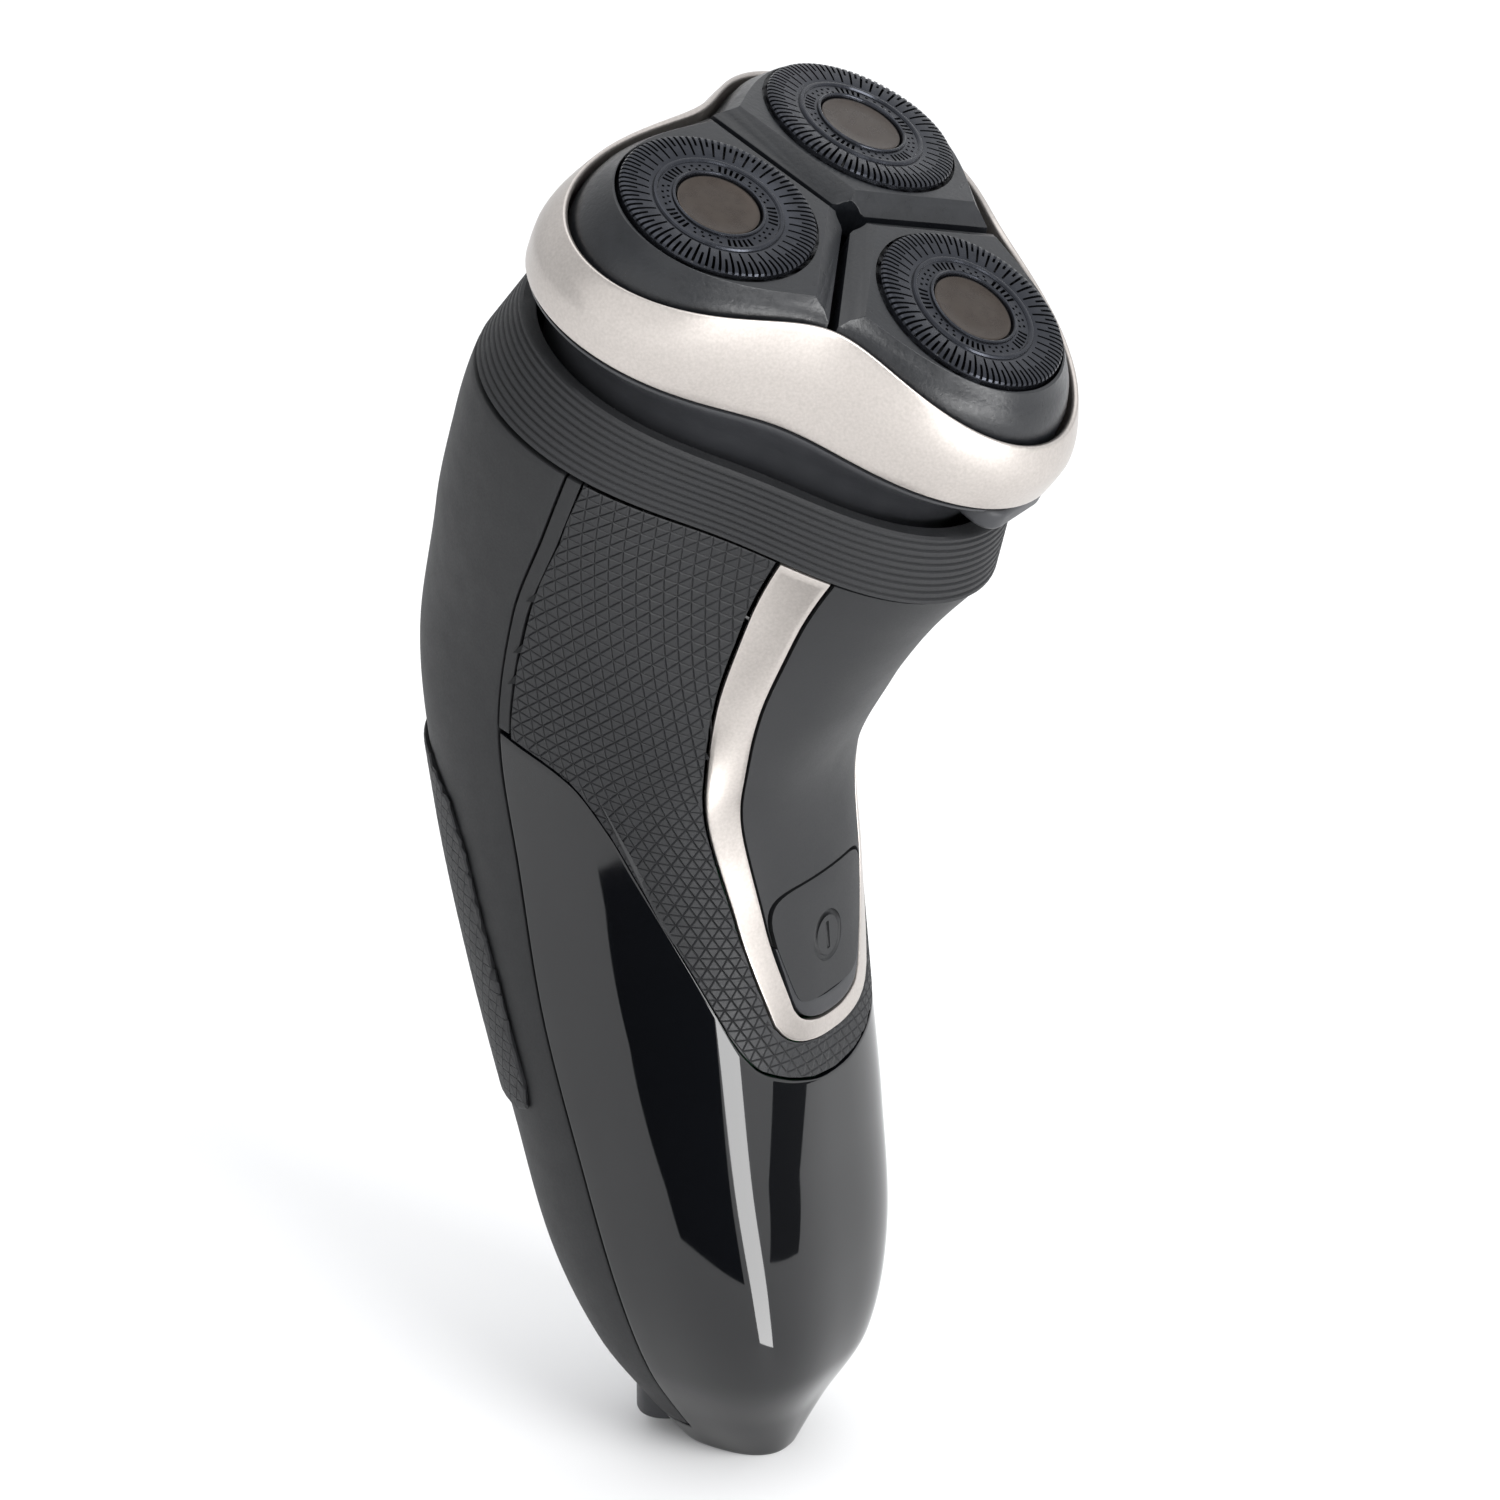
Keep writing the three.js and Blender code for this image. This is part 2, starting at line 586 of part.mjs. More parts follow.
const tabNotch = () => box(14, 9, 4, 0, -32.6, -17);

function releaseTab() {
  const pad = new THREE.Shape();
  pad.moveTo(-6.4, -30.6);
  pad.lineTo(-6.4, -34.6);
  pad.quadraticCurveTo(-6.4, -36.6, -4.4, -37);
  pad.quadraticCurveTo(0, -38, 4.4, -37);
  pad.quadraticCurveTo(6.4, -36.6, 6.4, -34.6);
  pad.lineTo(6.4, -30.6);
  const geometry = new THREE.ExtrudeGeometry(pad, { depth: 2.7, bevelEnabled: false, curveSegments: 5 });
  return geometry.translate(0, 0, -18.5);
}

function gearCover() {
  const plate = loft([-26.1, -24.9].map((h) => trefoil({ mean: 22.9, lobe: 3.5, height: h, dip: 0 })), false);
  const lugs = [-1, 1].map((side) => box(5, 2.4, 5, 0, side * 14.6, -28.5));
  const pinHole = new THREE.CylinderGeometry(1.45, 1.45, 40, 12).translate(0, 0, PIVOT_HEIGHT);
  const bores = coverScrews.map(([x, y]) => cylinder(1.2, -28, -24, x, y, 12));
  return cut(join(plate, ...lugs), cylinder(4.6, -28, -24, 0, 0, 20), pinHole, ...bores);
}

function gimbal() {
  const ring = turned([[7.6, PIVOT_HEIGHT - 1.3], [12.6, PIVOT_HEIGHT - 1.3], [12.6, PIVOT_HEIGHT + 1.3],
    [7.6, PIVOT_HEIGHT + 1.3]], 28);
  const stubs = [0, 90, 180, 270].map((turn) => {
    const stub = new THREE.CylinderGeometry(1.1, 1.1, 3.6, 12).translate(0, 13.6, 0);
    return stub.rotateZ(turn * RAD).translate(0, 0, PIVOT_HEIGHT);
  });
  return join(ring, ...stubs);
}

// Petals: the black frames that carry the guards and press in towards the middle.
const HALF_SLOT = 0.55;           // half the slot between two petals
function petalSector(angle) {
  const side = (radius) => 60 - Math.asin(HALF_SLOT / radius) / RAD;
  const corners = [[25, 3.4], [side(6.2), 6.2], [side(45), 45], [20, 48], [-20, 48], [-side(45), 45],
    [-side(6.2), 6.2], [-25, 3.4]];
  return corners.map(([offset, radius]) => [
    radius * Math.cos(angle + offset * RAD), radius * Math.sin(angle + offset * RAD),
  ]);
}

function petal(lobe) {
  const dome = loft([
    { mean: 26.9, lobe: 6.2, height: -9.4, dip: 0 }, { mean: 26.9, lobe: 6.2, height: -4.6, dip: -1.8 },
    { mean: 25.2, lobe: 6.0, height: -0.6, dip: -0.6 }, { mean: 25.2, lobe: 6.0, height: 3, dip: 0 },
  ].map((ring) => trefoil(ring)), false);
  const onLobe = new THREE.Matrix4().makeTranslation(lobe.x, lobe.y, 0)
    .multiply(new THREE.Matrix4().makeRotationZ(lobe.angle));
  const tilt = onLobe.clone().multiply(new THREE.Matrix4().makeRotationY(CUTTER_LEAN * RAD));
  const above = box(80, 90, 20, 0, 0, 9.3).applyMatrix4(tilt);
  const slope = new THREE.Matrix4().makeRotationY(9 * RAD).premultiply(onLobe);
  const below = box(80, 90, 20, 0, 0, -17).applyMatrix4(slope);
  const bore = cylinder(GUARD_RADIUS + GAP, -30, 4, 0, 0, 32).applyMatrix4(tilt);
  return cut(common(dome, extruded(petalSector(lobe.angle), -12, 5)), above, below, bore);
}

function guard() {
  const r = GUARD_RADIUS;
  return turned([[5.4, -0.6], [5.8, 0.2], [7.2, -0.1], [r - 0.5, 0.3], [r, -0.2], [r, -3.2],
    [r - 0.5, -3.2], [r - 0.5, -0.5], [7.2, -0.7]], 28);
}

function guardCap() {
  return turned([[0, -1.1], [4.85, -1.1], [4.95, -0.3], [4.6, 0.1], [0, 0.3]], 24);
}

// Rotary cutter: hub, spokes and upright blades round the rim.
function cutter() {
  const disc = turned([[4.4, -2.8], [9.8, -2.8], [9.8, -2.2], [4.4, -2.2]], 30);
  const boss = turned([[0, -1.7], [4.6, -1.7], [4.6, -6.6], [0, -6.6]], 20);
  const hub = cut(boss, cylinder(2.3, -9, -3.1, 0, 0, 16));
  const blades = Array.from({ length: 9 }, (_, i) => (
    box(1.0, 0.5, 1.5, 9.0, 0, -1.75).rotateZ((i * 40) * RAD)
  ));
  return join(disc, hub, ...blades);
}

function retainer() {
  const plate = loft([-11.6, -10.4].map((h) => trefoil({ mean: 22.4, lobe: 6.4, height: h, dip: 0 })), false);
  const windows = lobes.map(({ x, y }) => cylinder(7.2, -13, -9, x, y, 24));
  return cut(plate, ...windows, cylinder(2.6, -13, -9, 0, 0, 16));
}

function retainerKnob() {
  const grip3 = turned([[0, -14.4], [3.4, -14.4], [3.4, -12], [0, -12]], 18);
  return join(grip3, box(9, 1.6, 2.4, 0, 0, -13.2), cylinder(2.2, -12.5, -10, 0, 0, 16));
}

function spindle(lobe) {
  const shaft = cylinder(1.3, -23.6, -6.4, lobe.x, lobe.y, 12);
  const collar = cylinder(2.5, -12.4, -11.6, lobe.x, lobe.y, 14);
  const tip = box(1.9, 1.0, 2.4, lobe.x, lobe.y, -5.9);
  return join(shaft, collar, tip);
}

function spring(lobe) {
  const turns = 3;
  const coil = Array.from({ length: turns * 8 + 1 }, (_, i) => {
    const angle = (i * Math.PI) / 4;
    const [x, y] = [2.05 * Math.cos(angle), 2.05 * Math.sin(angle)];
    return new THREE.Vector3(lobe.x + x, lobe.y + y, -16.2 + (3.2 * i) / (turns * 8));
  });
  const route = new THREE.CatmullRomCurve3(coil);
  const wire = new THREE.Shape(circle(0.25, 4).map(([x, y]) => new THREE.Vector2(x, y)));
  return new THREE.ExtrudeGeometry(wire, { extrudePath: route, steps: turns * 8 });
}

// A planet gear turned so that its gaps meet the sun's teeth at rest.
function planet(lobe) {
  const sunPitch = (2 * Math.PI) / SUN_TEETH;
  const ahead = Math.round(lobe.angle / sunPitch) * sunPitch - lobe.angle;
  const phase = lobe.angle + Math.PI - (ahead * SUN_TEETH) / PLANET_TEETH + Math.PI / PLANET_TEETH;
  const wheel = gear(PLANET_TEETH, GEAR_HEIGHT, GEAR_HEIGHT + GEAR_WIDTH, phase, 1.75);
  return wheel.translate(lobe.x, lobe.y, 0);
}

function sun() {
  const wheel = gear(SUN_TEETH, GEAR_HEIGHT, GEAR_HEIGHT + GEAR_WIDTH, 0, 1.4);
  const hub = cylinder(3.6, -24.6, GEAR_HEIGHT + 0.5, 0, 0, 18);
  return cut(join(wheel, hub), cylinder(1.4, -30, -15, 0, 0, 14), cylinder(2.5, -30, -22.5, 0, 0, 16));
}

// ---------------------------------------------------------------- assembly: handle
place(shaver, 'front_shell', frontShell(), GLOSS_BLACK);
place(shaver, 'rear_shell', rearShell(), SOFT_BLACK);
place(shaver, 'grip', grip(), RUBBER);
place(shaver, 'side_stripe', stripe(), SILVER);
place(shaver, 'front_panel', frontPanel(), SOFT_BLACK);
place(shaver, 'button_frame', panelLip(), SATIN_BLACK);
place(shaver, 'power_button', powerButton(), SOFT_BLACK);
place(shaver, 'inlet_socket', inletSocket(), SATIN_BLACK);
for (const [side, x] of [['left', -2.2], ['right', 2.2]]) {
  place(shaver, `inlet_pin_${side}`, cylinder(0.7, 6.3, 15, x, INLET.y, 12), BRASS);
}
place(frame, 'chassis', chassis(), SATIN_BLACK);
place(frame, 'battery', cylinder(7, -36, 13, 0, 0.6, 24), CELL);
place(board, 'circuit_board', box(20, 1.6, 50, 0, 0, 0), BOARD);
place(board, 'power_switch', join(box(6, 3, 6, 0, -2.65, 15.5), cylinder(1.4, 0, 1.2, 0, 0, 12)
  .rotateX(Math.PI / 2).translate(0, -3.2, 15.5)), SATIN_BLACK);
place(trimmer, 'trimmer_body', trimmerBody(), SATIN_BLACK);
place(shaver, 'trimmer_door', trimmerDoor(), SOFT_BLACK);
place(trimmer, 'trimmer_comb', comb(17, 16, 0.5, -2.4, 13, 24.4), STEEL);
place(trimmer, 'trimmer_blade', comb(14, 14, 0.5, -7.1, 15, 24), STEEL);
place(shaver, 'trimmer_catch', trimmerCatch(), SATIN_BLACK);

// ---------------------------------------------------------------- assembly: neck and head
place(head, 'neck_deck', neckDeck(), SATIN_BLACK);
place(head, 'motor', motor(), STEEL);
place(head, 'drive_coupler', driveCoupler(), NYLON);
for (const [side, x] of [['left', -8], ['right', 8]]) {
  place(head, `motor_screw_${side}`, screw(x, 0, -32.2, 6, true), STEEL);
}
place(head, 'collar', loft([
  trefoil(COLLAR_FOOT), trefoil(COLLAR_TOP), trefoil({ ...COLLAR_TOP, mean: 27.0, height: -21.8 }),
  trefoil({ ...COLLAR_FOOT, mean: 28.1 }),
], true), RUBBER);
place(head, 'neck_gimbal', gimbal(), STEEL);
place(head, 'head_base', headBase(), SATIN_BLACK);
place(head, 'gear_cover', gearCover(), SATIN_BLACK);
coverScrews.forEach(([x, y], i) => place(head, `cover_screw_${i + 1}`, screw(x, y, -26.45, 5, false), STEEL));
place(head, 'release_tab', releaseTab(), SATIN_BLACK);
place(head, 'lid_hinge_pin', hingeRod(0.95, -6, 6), STEEL);
place(head, 'head_ring', headRing(), SILVER);
place(head, 'sun_gear', sun(), NYLON);
place(head, 'cutter_retainer', retainer(), SATIN_BLACK);
place(head, 'retainer_knob', retainerKnob(), SATIN_BLACK);

for (const lobe of lobes) {
  const site = new THREE.Group();
  site.position.set(lobe.x, lobe.y, 0);
  site.rotation.z = lobe.angle;
  const tilt = new THREE.Group();
  tilt.rotation.y = CUTTER_LEAN * RAD;
  site.add(tilt);
  head.add(site);
  place(head, `petal_${lobe.name}`, petal(lobe), SATIN_BLACK);
  place(tilt, `guard_${lobe.name}`, guard(), GUARD_METAL);
  place(tilt, `guard_cap_${lobe.name}`, guardCap(), CAP_METAL);
  place(tilt, `cutter_${lobe.name}`, cutter(), STEEL);
  place(head, `drive_gear_${lobe.name}`, planet(lobe), NYLON);
  place(head, `spindle_${lobe.name}`, spindle(lobe), STEEL);
  place(head, `spindle_spring_${lobe.name}`, spring(lobe), STEEL);
}

export default shaver;
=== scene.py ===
# %% [markdown]
# # A three-headed rotary shaver
#
# A cordless shaver stands on the small flat at its lower tip. Its curved handle carries a collar,
# a black base, a champagne ring and three petals with round slotted guards. The CAD frame gives
# every size and every body that moves. This lesson puts finished pieces around that frame: each
# one is made, given its finish and told which body it rides on.

import json
import math

import bpy
from mathutils import Matrix, Vector


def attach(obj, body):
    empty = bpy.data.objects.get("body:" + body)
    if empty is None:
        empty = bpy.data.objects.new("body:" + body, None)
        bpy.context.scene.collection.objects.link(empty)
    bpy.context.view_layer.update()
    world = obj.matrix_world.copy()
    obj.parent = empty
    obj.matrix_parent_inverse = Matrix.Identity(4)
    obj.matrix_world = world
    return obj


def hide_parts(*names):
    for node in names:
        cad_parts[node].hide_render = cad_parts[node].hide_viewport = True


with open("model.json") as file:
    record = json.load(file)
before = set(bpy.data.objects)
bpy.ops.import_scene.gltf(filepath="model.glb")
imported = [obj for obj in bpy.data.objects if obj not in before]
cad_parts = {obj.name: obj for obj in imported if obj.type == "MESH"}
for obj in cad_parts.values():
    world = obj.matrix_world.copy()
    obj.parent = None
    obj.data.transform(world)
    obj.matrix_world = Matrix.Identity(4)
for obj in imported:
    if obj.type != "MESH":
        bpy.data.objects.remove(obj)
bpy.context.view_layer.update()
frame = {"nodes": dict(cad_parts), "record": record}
nodes = frame["nodes"]
MM = 0.001

# %% [markdown]
# ## Camera, floor and light
#
# The shaver is seen from the left of its face and a little from above, through a long lens that
# keeps its upright lines almost parallel. A pale floor that curves up into a backdrop could be
# spun or bent. Here a grid is laid out flat and its far rows are lifted along a quarter circle,
# because one smooth sheet hides the horizon.

# %% Camera
view_right = Vector((0.51783, -0.85549, 0.0))
view_up = Vector((0.34485, 0.20874, 0.91516))
view_back = view_right.cross(view_up)
camera_data = bpy.data.cameras.new("camera")
camera_data.lens = 213.3
camera_data.sensor_width = 36
camera = bpy.data.objects.new("camera", camera_data)
bpy.context.scene.collection.objects.link(camera)
turn = Matrix((view_right, view_up, view_back)).transposed().to_4x4()
camera.matrix_world = Matrix.Translation((-0.80971, -0.49148, 0.50705)) @ turn
bpy.context.scene.camera = camera
print("camera stands", round(camera.location.length, 3), "m from the tip")


# %% Small helpers: deselect, edit mode, selecting by place
def deselect():
    for other in bpy.context.selected_objects:
        other.select_set(False)
    bpy.context.view_layer.objects.active = None


def only(piece):
    deselect()
    piece.select_set(True)
    bpy.context.view_layer.objects.active = piece


def edit(piece, mode="FACE"):
    only(piece)
    bpy.ops.object.mode_set(mode="EDIT")
    bpy.ops.mesh.select_mode(type=mode)


def edit_all(piece, mode="FACE"):
    edit(piece, mode)
    bpy.ops.mesh.select_all(action="SELECT")


def leave():
    bpy.ops.object.mode_set(mode="OBJECT")


def flat_grid(columns, rows):
    """A square grid of side 1 round the origin."""
    deselect()
    bpy.ops.mesh.primitive_grid_add(x_subdivisions=columns, y_subdivisions=rows, size=1)
    return bpy.context.object


def select_faces(piece, wanted):
    """Selects the faces that wanted(face) is true for, in edit mode, and counts them."""
    mesh = piece.data
    for group in (mesh.vertices, mesh.edges):
        group.foreach_set("select", [False] * len(group))
    chosen = [bool(wanted(face)) for face in mesh.polygons]
    mesh.polygons.foreach_set("select", chosen)
    edit(piece)
    return sum(chosen)


def count(piece):
    return f"{piece.name}: {len(piece.data.polygons)} faces"


# %% Floor that curves up into the backdrop
floor = flat_grid(60, 60)
floor.name = "floor"
away = Vector((-view_back.x, -view_back.y, 0)).normalized()
aside = Vector((away.y, -away.x, 0))
SHEET_LONG, SHEET_WIDE = 5, 8
FLAT_UNTIL = 1.2
BEND_RADIUS = 0.6
for vertex in floor.data.vertices:
    reach = vertex.co.y * SHEET_LONG
    lift = max(0.0, reach - FLAT_UNTIL)
    bend = min(lift / BEND_RADIUS, math.pi / 2)
    ahead = min(reach, FLAT_UNTIL) + BEND_RADIUS * math.sin(bend)
    height = BEND_RADIUS * (1 - math.cos(bend)) + max(0.0, lift - BEND_RADIUS * math.pi / 2)
    vertex.co = away * ahead + aside * vertex.co.x * SHEET_WIDE + Vector((0, 0, height))
print(count(floor))

# %% [markdown]
# ## Finishes
#
# Every black on this shaver is a different surface: piano-black ABS that mirrors the room,
# satin moulded ABS, a soft-touch lacquer, and a rubber that hardly shines. They could share one
# flat colour, but the eye tells them apart by roughness and grain, so each finish below mixes two
# close colours with noise, lets its roughness wander a little and adds a fine bump. All noise is
# in object coordinates, which are metres, so a grain of 0.4 mm has a scale of 1 / 0.0004.


# %% Colour and node helpers
def colour(code):
    """sRGB hex to the linear colour that the shader expects."""
    parts = [int(code[i : i + 2], 16) / 255 for i in (1, 3, 5)]
    linear = [c / 12.92 if c <= 0.04045 else ((c + 0.055) / 1.055) ** 2.4 for c in parts]
    return (*linear, 1.0)


def add(tree, kind, inputs=None, **settings):
    """Adds one node. An input is a value, or the socket that feeds it."""
    made = tree.nodes.new(kind)
    for key, value in settings.items():
        setattr(made, key, value)
    for key, value in (inputs or {}).items():
        if isinstance(value, bpy.types.NodeSocket):
            tree.links.new(value, made.inputs[key])
        else:
            made.inputs[key].default_value = value
    return made


def surface(name, dark, light, mottle, rough, grain, depth, **shader):
    """A finish of two close colours; mottle and grain are sizes in mm, depth is the bump in mm."""
    material = bpy.data.materials.new(name)
    material.use_nodes = True
    tree = material.node_tree
    tree.nodes.clear()
    place = add(tree, "ShaderNodeTexCoord").outputs["Object"]
    cloud, fine = (
        add(tree, "ShaderNodeTexNoise", {"Vector": place, "Scale": 1 / (size * MM), "Detail": detail})
        for size, detail in ((mottle, 4.0), (grain, 2.0))
    )
    tint = add(tree, "ShaderNodeMix", data_type="RGBA")
    tree.links.new(cloud.outputs["Fac"], tint.inputs["Factor"])
    for socket in tint.inputs:
        if socket.type == "RGBA":
            socket.default_value = colour(dark if socket.name == "A" else light)
    parts = {0: cloud.outputs["Fac"], 1: fine.outputs["Fac"]}
    both = add(tree, "ShaderNodeMath", parts, operation="ADD")
    shine = add(tree, "ShaderNodeMapRange", {
        "Value": both.outputs["Value"], "From Min": 0.6, "From Max": 1.4,
        "To Min": rough[0], "To Max": rough[1],
    })
    bump = add(tree, "ShaderNodeBump", {
        "Height": fine.outputs["Fac"], "Strength": 1.0, "Distance": depth * MM,
    })
    tinted = [socket for socket in tint.outputs if socket.type == "RGBA"][0]
    body = add(tree, "ShaderNodeBsdfPrincipled", {
        "Base Color": tinted, "Roughness": shine.outputs["Result"],
        "Normal": bump.outputs["Normal"], **shader,
    })
    add(tree, "ShaderNodeOutputMaterial", {"Surface": body.outputs["BSDF"]})
    return material


# %% The finishes of this shaver
# Piano-black injection-moulded ABS: a mirror with the faint orange peel of the mould.
piano_black = surface(
    "abs_piano_black", "#050608", "#08090c", 12, (0.03, 0.07), 2.5, 0.0006, IOR=1.53,
)
# Satin moulded ABS: a soft highlight, fine spark erosion that breaks it up.
satin_black = surface(
    "abs_satin_black", "#1c1d20", "#25262a", 3, (0.36, 0.48), 0.35, 0.006, IOR=1.5,
)
# The head's base and its tab are the same satin black ABS; their colour is painted lighter, a painted
# bounce light from the pale floor under the ring.
satin_black_painted_bounce = surface("abs_satin_black_painted_bounce_light", "#292a2d", "#323336", 3, (0.38, 0.5), 0.35, 0.006, IOR=1.5)
# Matt moulded ABS of the rear shell: the same resin from a bead-blasted mould.
matt_black = surface("abs_matt_black", "#101113", "#17181a", 3, (0.56, 0.68), 0.3, 0.006, IOR=1.46)
# The petals are the same ABS from a spark-eroded mould, coarse enough to sparkle at an edge.
spark_black = surface(
    "abs_spark_eroded_black", "#0f1114", "#191b1f", 2, (0.26, 0.4), 0.5, 0.03, IOR=1.5,
)
# Soft-touch lacquer over ABS: dark grey, no clear highlight, a bloom at grazing angles.
soft_touch = surface(
    "soft_touch_lacquer", "#161719", "#1d1e20", 5, (0.5, 0.62), 0.22, 0.004, IOR=1.46,
)
# Moulded thermoplastic rubber of the grip and the collar: nearly dull, slightly dusty.
rubber = surface("tpe_rubber_black", "#101113", "#1b1c1f", 2.2, (0.55, 0.72), 0.3, 0.008, IOR=1.5)
# Champagne metallic lacquer: fine aluminium flakes that glitter a little under a satin coat.
champagne = surface(
    "lacquer_champagne_metallic", "#aaa49f", "#c9c3be", 0.35, (0.28, 0.38), 0.2, 0.005, Metallic=0.9,
)
# Blackened stainless steel of the guards: lapped, so it has a tight and bright highlight.
guard_steel = surface(
    "steel_blackened_lapped", "#2a2c31", "#3a3c42", 1.2, (0.16, 0.3), 0.3, 0.003, Metallic=0.85,
)
# Bronze-grey hot-stamped foil of the caps, brushed across.
cap_foil = surface(
    "foil_bronze_grey", "#362f2b", "#49423c", 1.6, (0.24, 0.34), 0.15, 0.002, Metallic=0.8,
)
# Ground steel, nylon, circuit board, cell sleeve, drawn motor can and brass of the inner parts.
steel = surface("steel_ground", "#a9abae", "#c2c4c6", 0.8, (0.2, 0.34), 0.25, 0.003, Metallic=1.0)
nylon = surface("nylon_natural", "#d6d1c2", "#e6e2d6", 3, (0.42, 0.55), 0.4, 0.006, IOR=1.53)
board_green = surface(
    "board_solder_mask_green", "#12502e", "#1c6b3f", 1.5, (0.3, 0.42), 0.5, 0.01, IOR=1.55,
)
cell_blue = surface(
    "cell_pvc_sleeve_blue", "#2f5f96", "#3d72ab", 6, (0.22, 0.34), 0.6, 0.004, IOR=1.54,
)
motor_can = surface(
    "motor_can_zinc_plated", "#8f9396", "#a9acae", 2, (0.28, 0.42), 0.5, 0.006, Metallic=1.0,
)
brass = surface(
    "brass_plated_pin", "#b08a45", "#c49c52", 0.8, (0.18, 0.3), 0.3, 0.003, Metallic=1.0,
)
FINISH_OF_SLOT = {
    "gloss_black": piano_black, "satin_black": satin_black, "soft_black": soft_touch,
    "rubber_black": rubber, "silver_paint": champagne, "guard_steel": guard_steel,
    "cap_steel": cap_foil, "steel": steel, "nylon": nylon, "board": board_green,
    "cell": cell_blue, "motor_can": motor_can, "brass": brass,
}
slot_of_node = {part["node"]: part["material_slot"] for part in frame["record"]["subparts"]}
print(len(FINISH_OF_SLOT), "finishes for", len(slot_of_node), "nodes")


# %% Dress a finished piece
def dress(piece, material, slot, body, *replaced, smooth=35):
    """Gives the piece its finish and body, and hides the CAD nodes that it stands for; the slot argument
    is not used.
    """
    piece.data.materials.clear()
    piece.data.materials.append(material)
    only(piece)
    bpy.ops.object.shade_smooth_by_angle(angle=math.radians(smooth))
    deselect()
    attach(piece, body)
    if replaced:
        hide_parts(*replaced)
    print(count(piece))
    return piece


def apply_modifier(piece, kind, **settings):
    only(piece)
    modifier = piece.modifiers.new(kind.lower(), kind)
    for key, value in settings.items():
        setattr(modifier, key, value)
    bpy.ops.object.modifier_apply(modifier=modifier.name)
    return piece


def round_edges(piece, width, segments=2, angle=35):
    return apply_modifier(
        piece, "BEVEL", width=width * MM, segments=segments, limit_method="ANGLE",
        angle_limit=math.radians(angle), use_clamp_overlap=True,
    )


def thicken(piece, thickness, even=True):
    return apply_modifier(
        piece, "SOLIDIFY", thickness=thickness * MM, offset=-1, use_even_offset=even,
    )


def tidy_mesh(piece, distance=0.001):
    edit_all(piece)
    bpy.ops.mesh.remove_doubles(threshold=distance * MM)
    bpy.ops.mesh.normals_make_consistent(inside=False)
    leave()
    return piece


def flip(piece):
    edit_all(piece)
    bpy.ops.mesh.flip_normals()
    leave()


def cut_away(piece, tool):
    """Cuts the piece with a closed tool and removes the tool."""
    apply_modifier(piece, "BOOLEAN", operation="DIFFERENCE", object=tool, solver="EXACT")
    bpy.data.objects.remove(tool)
    return piece


def join_into(piece, *others):
    only(piece)
    for other in others:
        other.select_set(True)
    bpy.ops.object.join()
    return piece


def moved(piece, matrix):
    piece.data.transform(matrix)
    piece.data.update()
    return piece


# %% [markdown]
# ## The handle's surface
#
# The handle is a free form: eleven cross sections stand along its spine, each with its own lean,
# width, reach and squareness, and the top ones grow into the three lobes of the collar. It could
# be sculpted, but its shells and trims must meet along thin even gaps. So every outer piece below
# starts as a flat grid and its vertices are laid on the same surface, at an angle round the
# handle and a distance up its spine. A drawn edge can then be shared by the two pieces it parts.

# %% Sections up the spine: distance, lean, middle, half width, front, back, squareness
SECTIONS = [
    (0, 0, 0.35, 5.0, 7.1, 7.2, 2.6), (6, 0, 1.0, 9.5, 10.5, 10.9, 2.9),
    (14, 0, 1.6, 14.5, 15.5, 16.0, 3.0), (26, 0, 2.9, 18.5, 18.0, 20.2, 3.0),
    (42, 1, 6.2, 20.6, 20.1, 21.2, 2.9), (60, 4, 10.6, 21.4, 23.3, 22.1, 2.7),
    (78, 10, 12.8, 22.2, 24.8, 24.9, 2.5), (96, 18, 14.0, 24.2, 26.2, 26.1, 2.4),
    (112, 24, 9.9, 27.0, 29.8, 26.1, 2.3), (124, 27, 3.7, 29.2, 31.6, 26.4, 2.3),
    (132.9, 27.5, -0.6, 30.5, 34.7, 26.1, 2.3),
]
BACK_SQUARE = 2.2
LOBES_START = 100
TOP = 132.9
COLLAR_MEAN = 30.5
COLLAR_LOBE = 4.4


def section(s):
    """Smooth values of all columns at a distance up the spine."""
    at = min(max(s, 0.0), TOP)
    last = len(SECTIONS) - 1
    i = 0
    while i < last - 1 and at > SECTIONS[i + 1][0]:
        i += 1
    low, high = SECTIONS[i], SECTIONS[i + 1]
    before, after = SECTIONS[max(i - 1, 0)], SECTIONS[min(i + 2, last)]
    span = high[0] - low[0]
    t = (at - low[0]) / span
    rise = (t**3 - 2 * t**2 + t) * span / (high[0] - before[0])
    fall = (t**3 - t**2) * span / (after[0] - low[0])
    ease = 3 * t**2 - 2 * t**3
    return [
        low[k] + ease * (high[k] - low[k]) + rise * (high[k] - before[k]) + fall * (after[k] - low[k])
        for k in range(1, 7)
    ]


def signed_power(value, exponent):
    return math.copysign(abs(value) ** exponent, value)


def on_handle(angle, s, depth=0.0):
    """Point in metres: degrees from the front, mm up the spine, mm under the surface."""
    lean, middle, half, front, back, square = section(s)
    sin, cos = math.sin(math.radians(angle)), math.cos(math.radians(angle))
    facing = cos > 0
    exponent = 2 / (square if facing else BACK_SQUARE)
    t = min(max((s - LOBES_START) / (TOP - LOBES_START), 0.0), 1.0)
    lobes = t * t * (3 - 2 * t)
    radius = COLLAR_MEAN + COLLAR_LOBE * math.cos(math.radians(3 * angle))
    reach = COLLAR_MEAN + (COLLAR_LOBE if facing else -COLLAR_LOBE)
    across = (1 - lobes) * signed_power(sin, exponent) + lobes * radius * sin / COLLAR_MEAN
    along = (1 - lobes) * signed_power(cos, exponent) + lobes * radius * cos / reach
    extent = along * ((front if facing else back) - depth)
    tilt = math.radians(lean)
    return Vector((
        across * (half - depth), middle - extent * math.cos(tilt), s - extent * math.sin(tilt),
    )) * MM


print("front of the handle at 72 mm:", [round(c / MM, 1) for c in on_handle(0, 72)])

